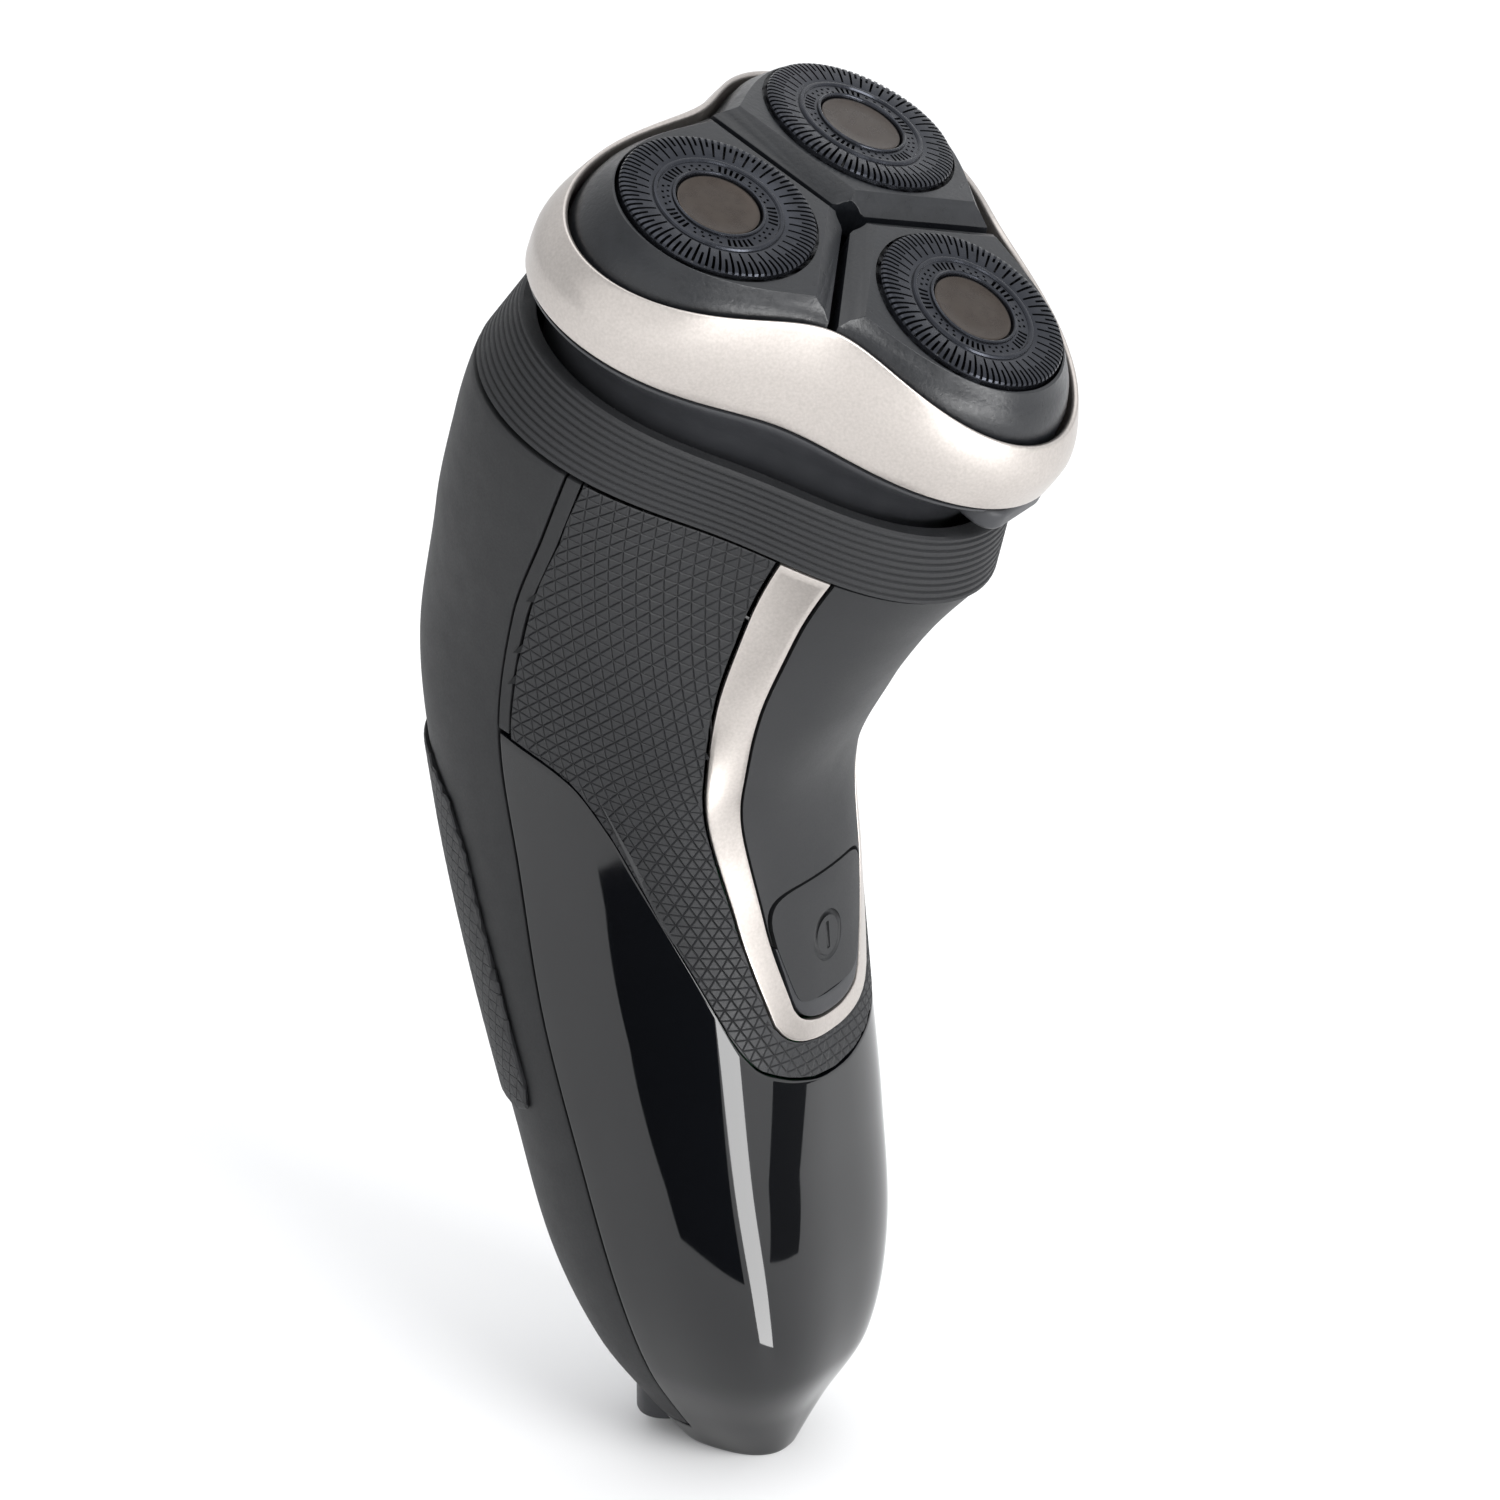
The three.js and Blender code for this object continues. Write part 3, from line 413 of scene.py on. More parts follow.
# %% Edges drawn on the handle, as degrees from the front and mm up the spine
SEAM = 97
GRIP_SIDE = 94
GAP = 0.3
SHOULDER = [
    (0, 53.2), (13, 54.6), (22, 56), (29, 57.3), (34, 59), (40.5, 62.6), (53, 72.6), (60, 78.6),
    (66, 84.6), (70.5, 89), (77.5, 93.3), (84, 95), (94, 95.9), (97, 96.1),
]
BAND_OUTSIDE = [
    (0, 58.4), (9, 59), (16.5, 60.3), (21.5, 62.3), (24.5, 64.8), (33.5, 76.3), (39, 90),
    (43.5, 101.6), (46, 110), (46, 121), (46.5, 132.9),
]
BAND_INSIDE = [
    (0, 61.2), (5, 61.6), (10, 62.6), (13, 64), (15, 66), (23, 76.6), (27, 89.6), (30.5, 100.6),
    (33.5, 110), (33, 121), (33.5, 132.9),
]


def along_edge(edge, t):
    """Smooth point of a mirrored edge: t runs from -1 at the left end to 1 at the right end."""
    side = -1 if t < 0 else 1
    at = abs(t) * (len(edge) - 1)
    i = min(int(at), len(edge) - 2)
    f = at - i
    before = edge[i - 1] if i else (-edge[1][0], edge[1][1])
    a, b = edge[i], edge[i + 1]
    after = edge[i + 2] if i + 2 < len(edge) else tuple(2 * b[k] - a[k] for k in (0, 1))
    point = [
        0.5 * (2 * a[k] + (b[k] - before[k]) * f
               + (2 * before[k] - 5 * a[k] + 4 * b[k] - after[k]) * f**2
               + (3 * a[k] - before[k] - 3 * b[k] + after[k]) * f**3)
        for k in (0, 1)
    ]
    return side * point[0], point[1]


def angle_of_edge(edge, s):
    """Angle of the right half of an edge at a distance up the spine."""
    low, high = 0.0, 1.0
    for _ in range(30):
        middle = (low + high) / 2
        if along_edge(edge, middle)[1] < s:
            low = middle
        else:
            high = middle
    return along_edge(edge, high)[0]


# %% A skin laid on the handle
def skin(name, path, columns, rows, thickness, edge=0.2, depth=0.0, even=True):
    """A grid laid on the handle by path(u, v), given a wall and softly rounded rims."""
    piece = flat_grid(columns, rows)
    piece.name = name
    for vertex in piece.data.vertices:
        vertex.co = on_handle(*path(vertex.co.x + 0.5, vertex.co.y + 0.5), depth)
    thicken(piece, thickness, even)
    if edge:
        round_edges(piece, edge)
    return piece


# %% [markdown]
# ## Lower shell
#
# The lower front shell is piano-black ABS. It wraps the front, rises on both sides to a shoulder
# under the grip, and closes the tip all round. Three grids share their columns so that they can
# be merged into one sheet, the hole at the foot is filled, and a Solidify modifier gives the wall.

# %% Front shell with its tip
TIP = 3.7
FRONT_COLUMNS = 176


def sheet_on_handle(path, columns, rows):
    sheet = flat_grid(columns, rows)
    for vertex in sheet.data.vertices:
        vertex.co = on_handle(*path(vertex.co.x + 0.5, vertex.co.y + 0.5))
    return sheet


def lower_front(u, v):
    angle, top = along_edge(SHOULDER, 2 * u - 1)
    flat = (2 * u - 1) * SEAM
    ease = min(1.0, v * 1.6)
    return flat + (angle - flat) * ease, TIP + v * (top - GAP - TIP)


front_shell = sheet_on_handle(lower_front, FRONT_COLUMNS, 90)
tip_front = sheet_on_handle(lambda u, v: ((2 * u - 1) * SEAM, v * TIP), FRONT_COLUMNS, 8)
tip_back = sheet_on_handle(lambda u, v: (SEAM + u * (360 - 2 * SEAM), v * TIP), 150, 8)
join_into(front_shell, tip_front, tip_back)
front_shell.name = "shell_front"
tidy_mesh(front_shell, 0.01)
foot_edges = [
    edge for edge in front_shell.data.edges
    if all(front_shell.data.vertices[i].co.z < 0.00001 for i in edge.vertices)
]
for group in (front_shell.data.vertices, front_shell.data.edges, front_shell.data.polygons):
    group.foreach_set("select", [False] * len(group))
for edge in foot_edges:
    edge.select = True
edit(front_shell, "EDGE")
bpy.ops.mesh.edge_face_add()
bpy.ops.mesh.select_all(action="SELECT")
bpy.ops.mesh.normals_make_consistent(inside=False)
leave()
thicken(front_shell, 1.6)
round_edges(front_shell, 0.22)
dress(front_shell, piano_black, "gloss_black", "handle", "front_shell", smooth=28)

# %% [markdown]
# ## Rear shell, side strips and back pad
#
# The rear shell is matt ABS. Two openings let in the pop-up trimmer and its catch. They could be
# left out of the grid, but a boolean cut with two slabs drawn on the same surface keeps the rim
# crisp. Between its seam and the grip runs a narrow strip of the same finish. The back carries a
# pad with the texture of the grip, which is made with it below.

# %% Rear shell with the trimmer bay and the catch slot
# Half width in degrees, foot and head in mm up the spine.
TRIMMER = (24, 99, 124)
CATCH = (9, 87, 94)
STUB_Y = 9


def patch(half_angle, foot, head):
    """Path of a rectangle in the middle of the back."""
    return lambda u, v: (180 + (2 * u - 1) * half_angle, foot + v * (head - foot))


REAR_START = SEAM + 0.9
rear_shell = skin(
    "shell_rear", lambda u, v: (REAR_START + u * (360 - 2 * REAR_START), 4.0 + v * (TOP - 4.5)),
    120, 110, 1.6,
)
bay = skin(
    "bay_cut", patch(TRIMMER[0] + 1.0, TRIMMER[1] - 0.5, TRIMMER[2] + 0.5), 24, 12, 4.5, 0, depth=-1.5,
)
slot_cut = skin(
    "slot_cut", patch(CATCH[0] + 0.7, CATCH[1] - 0.4, CATCH[2] + 3.0), 12, 8, 4.5, 0, depth=-1.5,
)
deselect()
bpy.ops.mesh.primitive_cylinder_add(vertices=48, radius=1, depth=40 * MM)
stub_cut = bpy.context.object
moved(stub_cut, Matrix.Diagonal((6.3 * MM, 4.6 * MM, 1, 1)))
moved(stub_cut, Matrix.Translation(Vector((0, STUB_Y, 15)) * MM))
for tool in (bay, slot_cut, stub_cut):
    cut_away(rear_shell, tool)
dress(rear_shell, matt_black, "soft_black", "handle", "rear_shell", smooth=28)

# %% Side strips between the grip and the seam
strips = [
    skin(
        f"strip_{name}",
        lambda u, v, side=side: (
            side * (GRIP_SIDE + 0.4 + (u if side > 0 else 1 - u) * 3.0), 96.4 + v * 36,
        ),
        6, 40, 1.4, 0.12,
    )
    for name, side in (("left", -1), ("right", 1))
]
for strip in strips:
    dress(strip, matt_black, "soft_black", "handle", "front_shell")

# %% [markdown]
# ## Champagne band
#
# A U-shaped band of metallic lacquer parts the grip from the front panel. Both of its edges are
# drawn lines on the handle, so one grid is stretched between them. It stands a hair proud, as
# a snapped-in trim does.

# %% The U band


def band_path(u, v):
    t = 2 * u - 1
    outside, inside = along_edge(BAND_OUTSIDE, t), along_edge(BAND_INSIDE, t)
    share = 0.06 + 0.9 * v
    angle, s = (outside[k] + share * (inside[k] - outside[k]) for k in (0, 1))
    return angle, min(s, TOP - 0.4)


band = skin("band_champagne", band_path, 160, 8, 1.1, 0.14, depth=-0.05)
dress(band, champagne, "silver_paint", "handle", "side_stripe")

# %% [markdown]
# ## Front panel, button frame and button
#
# The panel is soft-touch lacquer and ends in a rounded notch that holds the button. The button
# fills the foot of the U with a thin frame round it. Its switch mark is a ring with an upright
# bar. It could be printed, but the real mark is sunk, so a thin torus and a slim bar are cut
# into the button.

# %% Front panel
BUTTON_HEAD = 82.0
BUTTON_CORNER = 74.2
ROUNDNESS = 3.6


def button_top(share):
    """Height of the button's upper edge at a share of its half width, with rounded corners."""
    arch = (1 - min(abs(share), 1.0) ** ROUNDNESS) ** (1 / ROUNDNESS)
    return BUTTON_CORNER + (BUTTON_HEAD - BUTTON_CORNER) * arch


def panel_path(u, v):
    share = math.sin((u - 0.5) * math.pi)
    foot = button_top(share) + 0.3
    s = foot + v * (TOP - 0.4 - foot)
    return share * (angle_of_edge(BAND_INSIDE, min(s, TOP - 0.01)) - 0.4), s


panel = skin("panel_front", panel_path, 28, 80, 1.1, 0, even=False)
dress(panel, soft_touch, "soft_black", "handle", "front_panel")

# %% Button frame
FRAME_HEAD = 74.0
FRAME_EDGE = [
    (0, 61.5), (5, 61.9), (9.6, 62.9), (12.6, 64.3), (14.6, 66.3), (17.3, 70), (20.3, FRAME_HEAD),
]
BUTTON_EDGE = [
    (0, 64.1), (4, 64.3), (8.4, 64.9), (11.4, 66.0), (13.5, 67.6), (16.2, 70.3), (19.3, FRAME_HEAD),
]


def frame_path(u, v):
    outside, inside = along_edge(FRAME_EDGE, 2 * u - 1), along_edge(BUTTON_EDGE, 2 * u - 1)
    return tuple(outside[k] + v * (inside[k] - outside[k]) for k in (0, 1))


frame_lip = skin("button_lip", frame_path, 90, 4, 1.1, 0.12)
dress(frame_lip, satin_black, "satin_black", "handle", "button_frame")

# %% Button with its sunken switch mark


def button_path(u, v):
    share = math.sin((u - 0.5) * math.pi)
    low = 64.4 + 3.4 * (1 - (1 - min(abs(share), 1.0) ** 4) ** 0.25)
    s = low + v * (button_top(share) - low)
    return share * (angle_of_edge(BAND_INSIDE, s) - 1.9 - 0.6 * max(0, (FRAME_HEAD - s) / 10)), s


button = skin("button_power", button_path, 28, 40, 1.2, 0, depth=-0.1, even=False)
mark_centre = on_handle(0, 72.4, -0.1)
face_tilt = math.radians(82)
stand = Matrix.Translation(mark_centre) @ Matrix.Rotation(face_tilt, 4, "X")
deselect()
bpy.ops.mesh.primitive_torus_add(
    major_segments=64, minor_segments=12, major_radius=2.75 * MM, minor_radius=0.42 * MM,
)
mark_ring = moved(bpy.context.object, stand)
deselect()
bpy.ops.mesh.primitive_cube_add(size=1)
mark_bar = bpy.context.object
moved(mark_bar, Matrix.Diagonal((0.7 * MM, 3.4 * MM, 0.8 * MM, 1)))
round_edges(mark_bar, 0.2, segments=3)
moved(mark_bar, stand)
for tool in (mark_ring, mark_bar):
    cut_away(button, tool)
deselect()
bpy.ops.mesh.primitive_cylinder_add(vertices=32, radius=2.2 * MM, depth=3.6 * MM)
forward = Matrix.Rotation(math.pi / 2, 4, "X")
stem = moved(bpy.context.object, Matrix.Translation(Vector((0, -9.3, 69)) * MM) @ forward)
round_edges(stem, 0.25)
join_into(button, stem)
dress(button, soft_touch, "soft_black", "button", "power_button")

# %% [markdown]
# ## Grip with its triangle lattice
#
# The grip is moulded rubber covered with small raised triangles. A bump map would vanish at the
# outline, so the lattice is real: a flat grid whose odd rows are pushed half a pitch becomes
# triangles, the outline of the grip is cut into it with Bisect, every triangle that is still big
# enough is inset and raised, and the flat sheet is laid on the handle. To keep the triangles even,
# distance round the handle is measured along its surface.

# %% Distance round the handle, in mm from the front line
ARC_STEP = 1.5
ARC_ANGLES = [ARC_STEP * i for i in range(int(180 / ARC_STEP) + 1)]
arc_tables = {}


def arc_table(row):
    """Distances along the surface from the front to each of ARC_ANGLES, at a whole mm."""
    if row not in arc_tables:
        points = [on_handle(angle, row) / MM for angle in ARC_ANGLES]
        lengths = [0.0]
        for a, b in zip(points, points[1:]):
            lengths.append(lengths[-1] + (b - a).length)
        arc_tables[row] = lengths
    return arc_tables[row]


def arc_of(angle, s):
    low = int(s)
    share = s - low
    at = abs(angle) / ARC_STEP
    i = min(int(at), len(ARC_ANGLES) - 2)
    a, b = (
        table[i] + (at - i) * (table[i + 1] - table[i]) for table in (arc_table(low), arc_table(low + 1))
    )
    return math.copysign(a + share * (b - a), angle)


def angle_of(distance, s):
    low = int(s)
    share = s - low
    one, two = arc_table(low), arc_table(low + 1)
    lengths = [a + share * (b - a) for a, b in zip(one, two)]
    goal = min(abs(distance), lengths[-1] - 1e-6)
    first, last = 0, len(lengths) - 1
    while last - first > 1:
        middle = (first + last) // 2
        if lengths[middle] <= goal:
            first = middle
        else:
            last = middle
    share = (goal - lengths[first]) / (lengths[last] - lengths[first])
    return math.copysign((first + share) * ARC_STEP, distance)


print("half way round at 90 mm:", round(arc_of(180, 90), 1), "mm")

# %% A flat lattice of triangles, trimmed to an outline and laid on the handle
PITCH = 1.7
GROOVE = 0.14
RAISE = 0.16


def inside_outline(x, y, outline):
    hit = False
    for (ax, ay), (bx, by) in zip(outline, outline[1:] + outline[:1]):
        if (ay > y) != (by > y) and x < (bx - ax) * (y - ay) / (by - ay) + ax:
            hit = not hit
    return hit


def lattice(name, outline, thickness, sink=0.12, on_back=False):
    """outline: closed list of (mm round the handle from its front or back line, mm up the spine)."""
    xs, ys = [p[0] for p in outline], [p[1] for p in outline]
    rise = PITCH * math.sqrt(3) / 2
    columns = 2 * int(max(abs(min(xs)), abs(max(xs))) / PITCH + 2)
    rows = int((max(ys) - min(ys)) / rise + 3)
    piece = flat_grid(columns, rows)
    piece.name = name
    low = min(ys) - rise
    for vertex in piece.data.vertices:
        row = round((vertex.co.y + 0.5) * rows)
        shift = 0.5 * (row % 2)
        vertex.co = (vertex.co.x * columns * PITCH + shift * PITCH, low + row * rise, 0)
    edit_all(piece)
    bpy.ops.mesh.quads_convert_to_tris(quad_method="SHORTEST_DIAGONAL")
    leave()
    for (ax, ay), (bx, by) in zip(outline, outline[1:] + outline[:1]):
        a, b = Vector((ax, ay)), Vector((bx, by))
        span = b - a
        if span.length < 0.01:
            continue

        def near(face):
            away = Vector(face.center[:2]) - a
            share = min(max(away.dot(span) / span.length_squared, 0), 1)
            return (away - span * share).length < PITCH

        across = Vector((span.y, -span.x, 0)).normalized()
        if select_faces(piece, near):
            bpy.ops.mesh.bisect(plane_co=(ax, ay, 0), plane_no=across)
        leave()
    select_faces(piece, lambda face: not inside_outline(face.center.x, face.center.y, outline))
    bpy.ops.mesh.delete(type="FACE")
    leave()
    edit_all(piece, "VERT")
    bpy.ops.mesh.remove_doubles(threshold=0.12)
    leave()
    corners = piece.data.vertices

    def compact(face):
        """True for a face that is big and blunt enough to carry an inset."""
        ring = [corners[i].co for i in face.vertices]
        around = sum((b - a).length for a, b in zip(ring, ring[1:] + ring[:1]))
        return face.area > 0.4 * PITCH * rise / 2 and face.area > 0.03 * around**2

    raised = select_faces(piece, compact)
    bpy.ops.mesh.inset(thickness=GROOVE, depth=RAISE, use_individual=True)
    leave()
    for vertex in piece.data.vertices:
        distance, s, height = vertex.co
        s = min(s, TOP - 0.02)
        angle = 180 - angle_of_back(distance, s) if on_back else angle_of(distance, s)
        vertex.co = on_handle(angle, s, sink - height)
    thicken(piece, thickness, even=False)
    print(name, "has", raised, "raised triangles")
    return piece


def angle_of_back(distance, s):
    """Degrees from the back line, for a distance round from it; positive runs to the +X side."""
    whole = arc_of(180, s)
    return math.copysign(180 - angle_of(whole - abs(distance), s), distance)


# %% The grip
def dense(edge, per_segment=2):
    steps = per_segment * (len(edge) - 1)
    return [along_edge(edge, i / steps) for i in range(steps + 1)]


grip_right = [(a, s + 0.05) for a, s in dense(SHOULDER[:-1])]
grip_right += [(GRIP_SIDE, s) for s in (106, 115, 124, TOP - 0.4)]
band_right = [(a + (0.35 if a else 0), min(s, TOP - 0.4)) for a, s in dense(BAND_OUTSIDE)]
right_flat = [(arc_of(a, s), s) for a, s in grip_right + band_right[::-1]]
grip_outline = right_flat + [(-x, s) for x, s in right_flat[::-1]]
grip = lattice("grip_rubber", grip_outline, 0.9)
dress(grip, rubber, "rubber_black", "handle", "grip", smooth=20)

# %% The pad on the back
pad_outline = [
    (-21, 46), (21, 46), (23.6, 47), (24.6, 50), (24.8, 62), (24, 76), (22.4, 81), (18, 84), (-18, 84),
    (-22.4, 81), (-24, 76), (-24.8, 62), (-24.6, 50), (-23.6, 47),
]
pad = lattice("pad_back", pad_outline, 0.5, sink=-0.05, on_back=True)
dress(pad, rubber, "rubber_black", "handle", smooth=20)

# %% [markdown]
# ## The head's own frame
#
# The head leans 28 degrees towards the face of the shaver. Its parts are easiest to make upright
# round the Z axis and then turned into place. Most of them are lobed rings: a circle primitive
# with one vertex per corner becomes the cross-section, Spin turns it into a plain round ring, and
# every vertex is then moved in or out by a wave that repeats three times round the head.

# %% Head frame and lobed rings
HEAD = Matrix.Translation(Vector((0, -14.7, 159.4)) * MM) @ Matrix.Rotation(math.radians(28), 4, "X")


def spin(piece, steps, tolerance, **settings):
    """Turns everything round the Z axis, merges where the ends meet (mm) and turns faces out."""
    edit_all(piece, "EDGE")
    bpy.ops.mesh.spin(
        steps=steps, angle=2 * math.pi, center=(0, 0, 0), axis=(0, 0, 1), **settings,
    )
    bpy.ops.mesh.select_all(action="SELECT")
    bpy.ops.mesh.remove_doubles(threshold=tolerance * MM)
    bpy.ops.mesh.normals_make_consistent(inside=False)
    leave()
    return piece


def spun(name, profile, steps=144):
    """Spins a closed profile of (radius, height) in mm round the Z axis."""
    deselect()
    bpy.ops.mesh.primitive_circle_add(vertices=len(profile), radius=1)
    piece = bpy.context.object
    piece.name = name
    for vertex, (radius, height) in zip(piece.data.vertices, profile):
        vertex.co = Vector((radius, 0, height)) * MM
    return spin(piece, steps, 0.002)


def lobed(name, levels, steps=144):
    """Spins levels of (mean radius, lobe, height, dip) and gives them the head's three lobes."""
    piece = spun(name, [(level[0], level[2]) for level in levels], steps)
    for vertex in piece.data.vertices:
        radius, height = math.hypot(vertex.co.x, vertex.co.y) / MM, vertex.co.z / MM
        level = min(levels, key=lambda each: (each[0] - radius) ** 2 + (each[2] - height) ** 2)
        angle = math.atan2(vertex.co.x, -vertex.co.y)
        wave = math.cos(3 * angle)
        radius = level[0] + level[1] * wave
        vertex.co = Vector((
            radius * math.sin(angle), -radius * math.cos(angle), level[2] + level[3] * wave,
        )) * MM
    return tidy_mesh(piece)


def between(a, b, share):
    return tuple(x + share * (y - x) for x, y in zip(a, b))


# %% [markdown]
# ## Collar
#
# The rubber collar closes the top of the handle. Nine fine grooves run round it. They could be a
# texture, but they break up the outline and catch the light from below, so they are in the
# cross-section that is spun.

# %% Grooved collar
collar_top = (29.2, 3.6, -21.5, 0)
collar_foot = (30.5, 4.4, -30.0, 0)
GROOVES = 9
collar_levels = [between(collar_top, collar_foot, 0.02)]
for i in range(GROOVES):
    middle = (i + 0.75) / (GROOVES + 0.6)
    for offset, sink in ((-0.026, 0), (-0.012, 0.26), (0.012, 0.26), (0.026, 0)):
        mean, lobe, height, dip = between(collar_top, collar_foot, middle + offset)
        collar_levels.append((mean - sink, lobe, height, dip))
collar_levels += [
    between(collar_top, collar_foot, 0.985), (30.2, 4.4, -30.0, 0), (28.1, 4.4, -30.0, 0),
    (27.0, 3.6, -21.9, 0), (27.3, 3.6, -21.5, 0), (28.85, 3.6, -21.45, 0),
]
collar = moved(lobed("collar_grooved", collar_levels), HEAD)
dress(collar, rubber, "rubber_black", "handle", "collar", smooth=32)

# %% [markdown]
# ## Head base
#
# Under the champagne ring a satin black tub tapers into the collar; its colour is painted lighter,
# a painted bounce light from the floor. Inside it carries the gear chamber that shows when the head
# is flipped open, so the tub is a full spun cross-section with its three spindle holes, the hinge
# clearance and the notch of the release tab cut by booleans.

# %% Head base
CUTTER_CIRCLE = 18.0
LOBES = {"left": 150, "right": 30, "front": 270}


def rod(radius, low, high, x=0.0, y=0.0, sides=32):
    deselect()
    bpy.ops.mesh.primitive_cylinder_add(vertices=sides, radius=radius * MM, depth=(high - low) * MM)
    return moved(bpy.context.object, Matrix.Translation(Vector((x, y, (low + high) / 2)) * MM))


def rod_across(radius, left, right, y, z, sides=32):
    upright = rod(radius, left, right, 0, 0, sides)
    moved(upright, Matrix.Rotation(math.pi / 2, 4, "Y"))
    return moved(upright, Matrix.Translation(Vector((0, y, z)) * MM))


def block(width, depth, height, x, y, z):
    deselect()
    bpy.ops.mesh.primitive_cube_add(size=1)
    size = Matrix.Diagonal((width * MM, depth * MM, height * MM, 1))
    return moved(bpy.context.object, Matrix.Translation(Vector((x, y, z)) * MM) @ size)


HINGE_Y = 26.9
HINGE_Z = -15.25
base_levels = [
    (29.0, 5.9, -15.5, 0), (28.9, 5.8, -15.9, 0), (28.1, 5.3, -16.6, 0), (27.0, 4.6, -17.5, 0),
    (26.0, 4.1, -18.5, 0), (25.4, 3.8, -19.5, 0), (25.1, 3.7, -20.6, 0), (24.8, 3.6, -25.2, 0),
    (23.6, 4.0, -25.2, 0), (23.8, 4.1, -19.6, 0), (1.6, 0, -19.6, 0), (1.6, 0, -18.3, 0),
    (23.4, 3.4, -18.3, 0),
    (25.8, 4.4, -15.3, 0), (26.2, 4.6, -15.2, 0), (27.2, 5.2, -15.3, 0),
]
base = lobed("base_head", base_levels)
tools = []
for degrees in LOBES.values():
    seat = Matrix.Rotation(math.radians(degrees), 4, "Z") @ Vector((CUTTER_CIRCLE, 0, 0))
    tools.append(rod(2.0, -26, -14, seat.x, seat.y))
tools += [block(14, 9, 4.8, 0, -32.6, -17.2), block(6.4, 6, 8, 0, 26, -15.2)]
for tool in tools:
    cut_away(base, tool)
axle = rod(1.55, -21.6, -18.3)
join_into(base, axle)
for side in (-1, 1):
    ear = block(2.9, 4, 3, side * 4.95, 24.8, -17.2)
    round_edges(ear, 0.3)
    barrel = rod_across(1.9, 3.45, 6.4, HINGE_Y, HINGE_Z)
    if side < 0:
        moved(barrel, Matrix.Translation((-9.85 * MM, 0, 0)))
    round_edges(barrel, 0.2)
    join_into(base, ear, barrel)
round_edges(base, 0.15, angle=50)
moved(base, HEAD)
# The base wears the satin black painted lighter: painted bounce light from the floor.
dress(base, satin_black_painted_bounce, "satin_black", "head", "head_base", smooth=32)

# %% [markdown]
# ## Release tab
#
# The tab under the front lobe is pushed in to open the head. It could be part of the base, but it
# moves on its own, so it is a cube stretched to the pad, its outer corners rounded by a wide bevel
# and all its edges by a small one.

# %% Release tab
tab = block(12.8, 5.0, 3.0, 0, -32.1, -17.3)
tab.name = "tab_release"
select_faces(tab, lambda face: False)
leave()
for edge in tab.data.edges:
    ends = [tab.data.vertices[i].co for i in edge.vertices]
    edge.select = all(end.y < -34 * MM for end in ends) and abs(ends[0].z - ends[1].z) > MM
edit(tab, "EDGE")
bpy.ops.mesh.bevel(offset=2.6 * MM, segments=8, affect="EDGES")
leave()
round_edges(tab, 0.9, segments=5)
moved(tab, HEAD)
# The tab wears the same satin black painted lighter: painted bounce light from the floor.
dress(tab, satin_black_painted_bounce, "satin_black", "tab", "release_tab", smooth=45)

# %% [markdown]
# ## Champagne ring
#
# The ring frames the three petals. Between two lobes it dips and swells outwards, so its height
# and its radius both carry the wave. Its outside is drawn as a smooth run of levels from the thin
# upper lip, over a full belly, to the tucked-in foot.

# %% Ring
ring_lip = (28.1, 6.2, -4.1, -2.6)
ring_belly = (29.75, 6.3, -10.4, -0.9)
ring_foot = (29.45, 6.0, -15.0, 0)
RING_ROWS = 9
ring_levels = []
for i in range(RING_ROWS + 1):
    t = i / RING_ROWS
    mean = ring_lip[0] + (ring_belly[0] - ring_lip[0]) * math.sin(t * math.pi / 2)
    ring_levels.append((mean, *between(ring_lip, ring_belly, t)[1:]))
for i in range(1, 5):
    t = i / 4
    mean = ring_belly[0] + (ring_foot[0] - ring_belly[0]) * (1 - math.cos(t * math.pi / 2))
    ring_levels.append((mean, *between(ring_belly, ring_foot, t)[1:]))
ring_levels += [(27.7, 6.0, -15.0, 0), (27.6, 6.1, -12.0, -0.6), (27.45, 6.2, -4.4, -2.6)]
ring = lobed("ring_champagne", ring_levels, 216)
knuckle = rod_across(1.9, -3, 3, HINGE_Y, HINGE_Z)
round_edges(knuckle, 0.2)
web = block(5.4, 3.0, 3.6, 0, 24.7, -13.2)
round_edges(web, 0.3)
round_edges(ring, 0.25, segments=3, angle=40)
join_into(ring, knuckle, web)
moved(ring, HEAD)
dress(ring, champagne, "silver_paint", "lid", "head_ring", smooth=38)

# %% [markdown]
# ## Petals
#
# Three petals float in the ring and carry the cutters. Each could be built from scratch, but all
# three come out of one lobed dome: bisecting it along the two slots leaves a third, tilted planes
# trim its top and its underside, two sloping ones chamfer it towards the slots, a cylinder bores
# the seat, and a bevel softens its edges, on which the grain sparkles.

# %% One petal, made for the front lobe and turned for the others
HALF_SLOT = 0.55
CUTTER_LEAN = math.radians(5.4)
GUARD_RADIUS = 11.65


def on_lobe(degrees):
    turn = math.radians(degrees)
    return (Matrix.Translation(Vector((math.cos(turn), math.sin(turn), 0)) * CUTTER_CIRCLE * MM)
            @ Matrix.Rotation(turn, 4, "Z"))


def bisect(piece, point, normal):
    """Keeps what lies against the normal and closes the cut."""
    edit_all(piece)
    bpy.ops.mesh.bisect(
        plane_co=point, plane_no=normal.normalized(), use_fill=True, clear_outer=True,
    )
    leave()


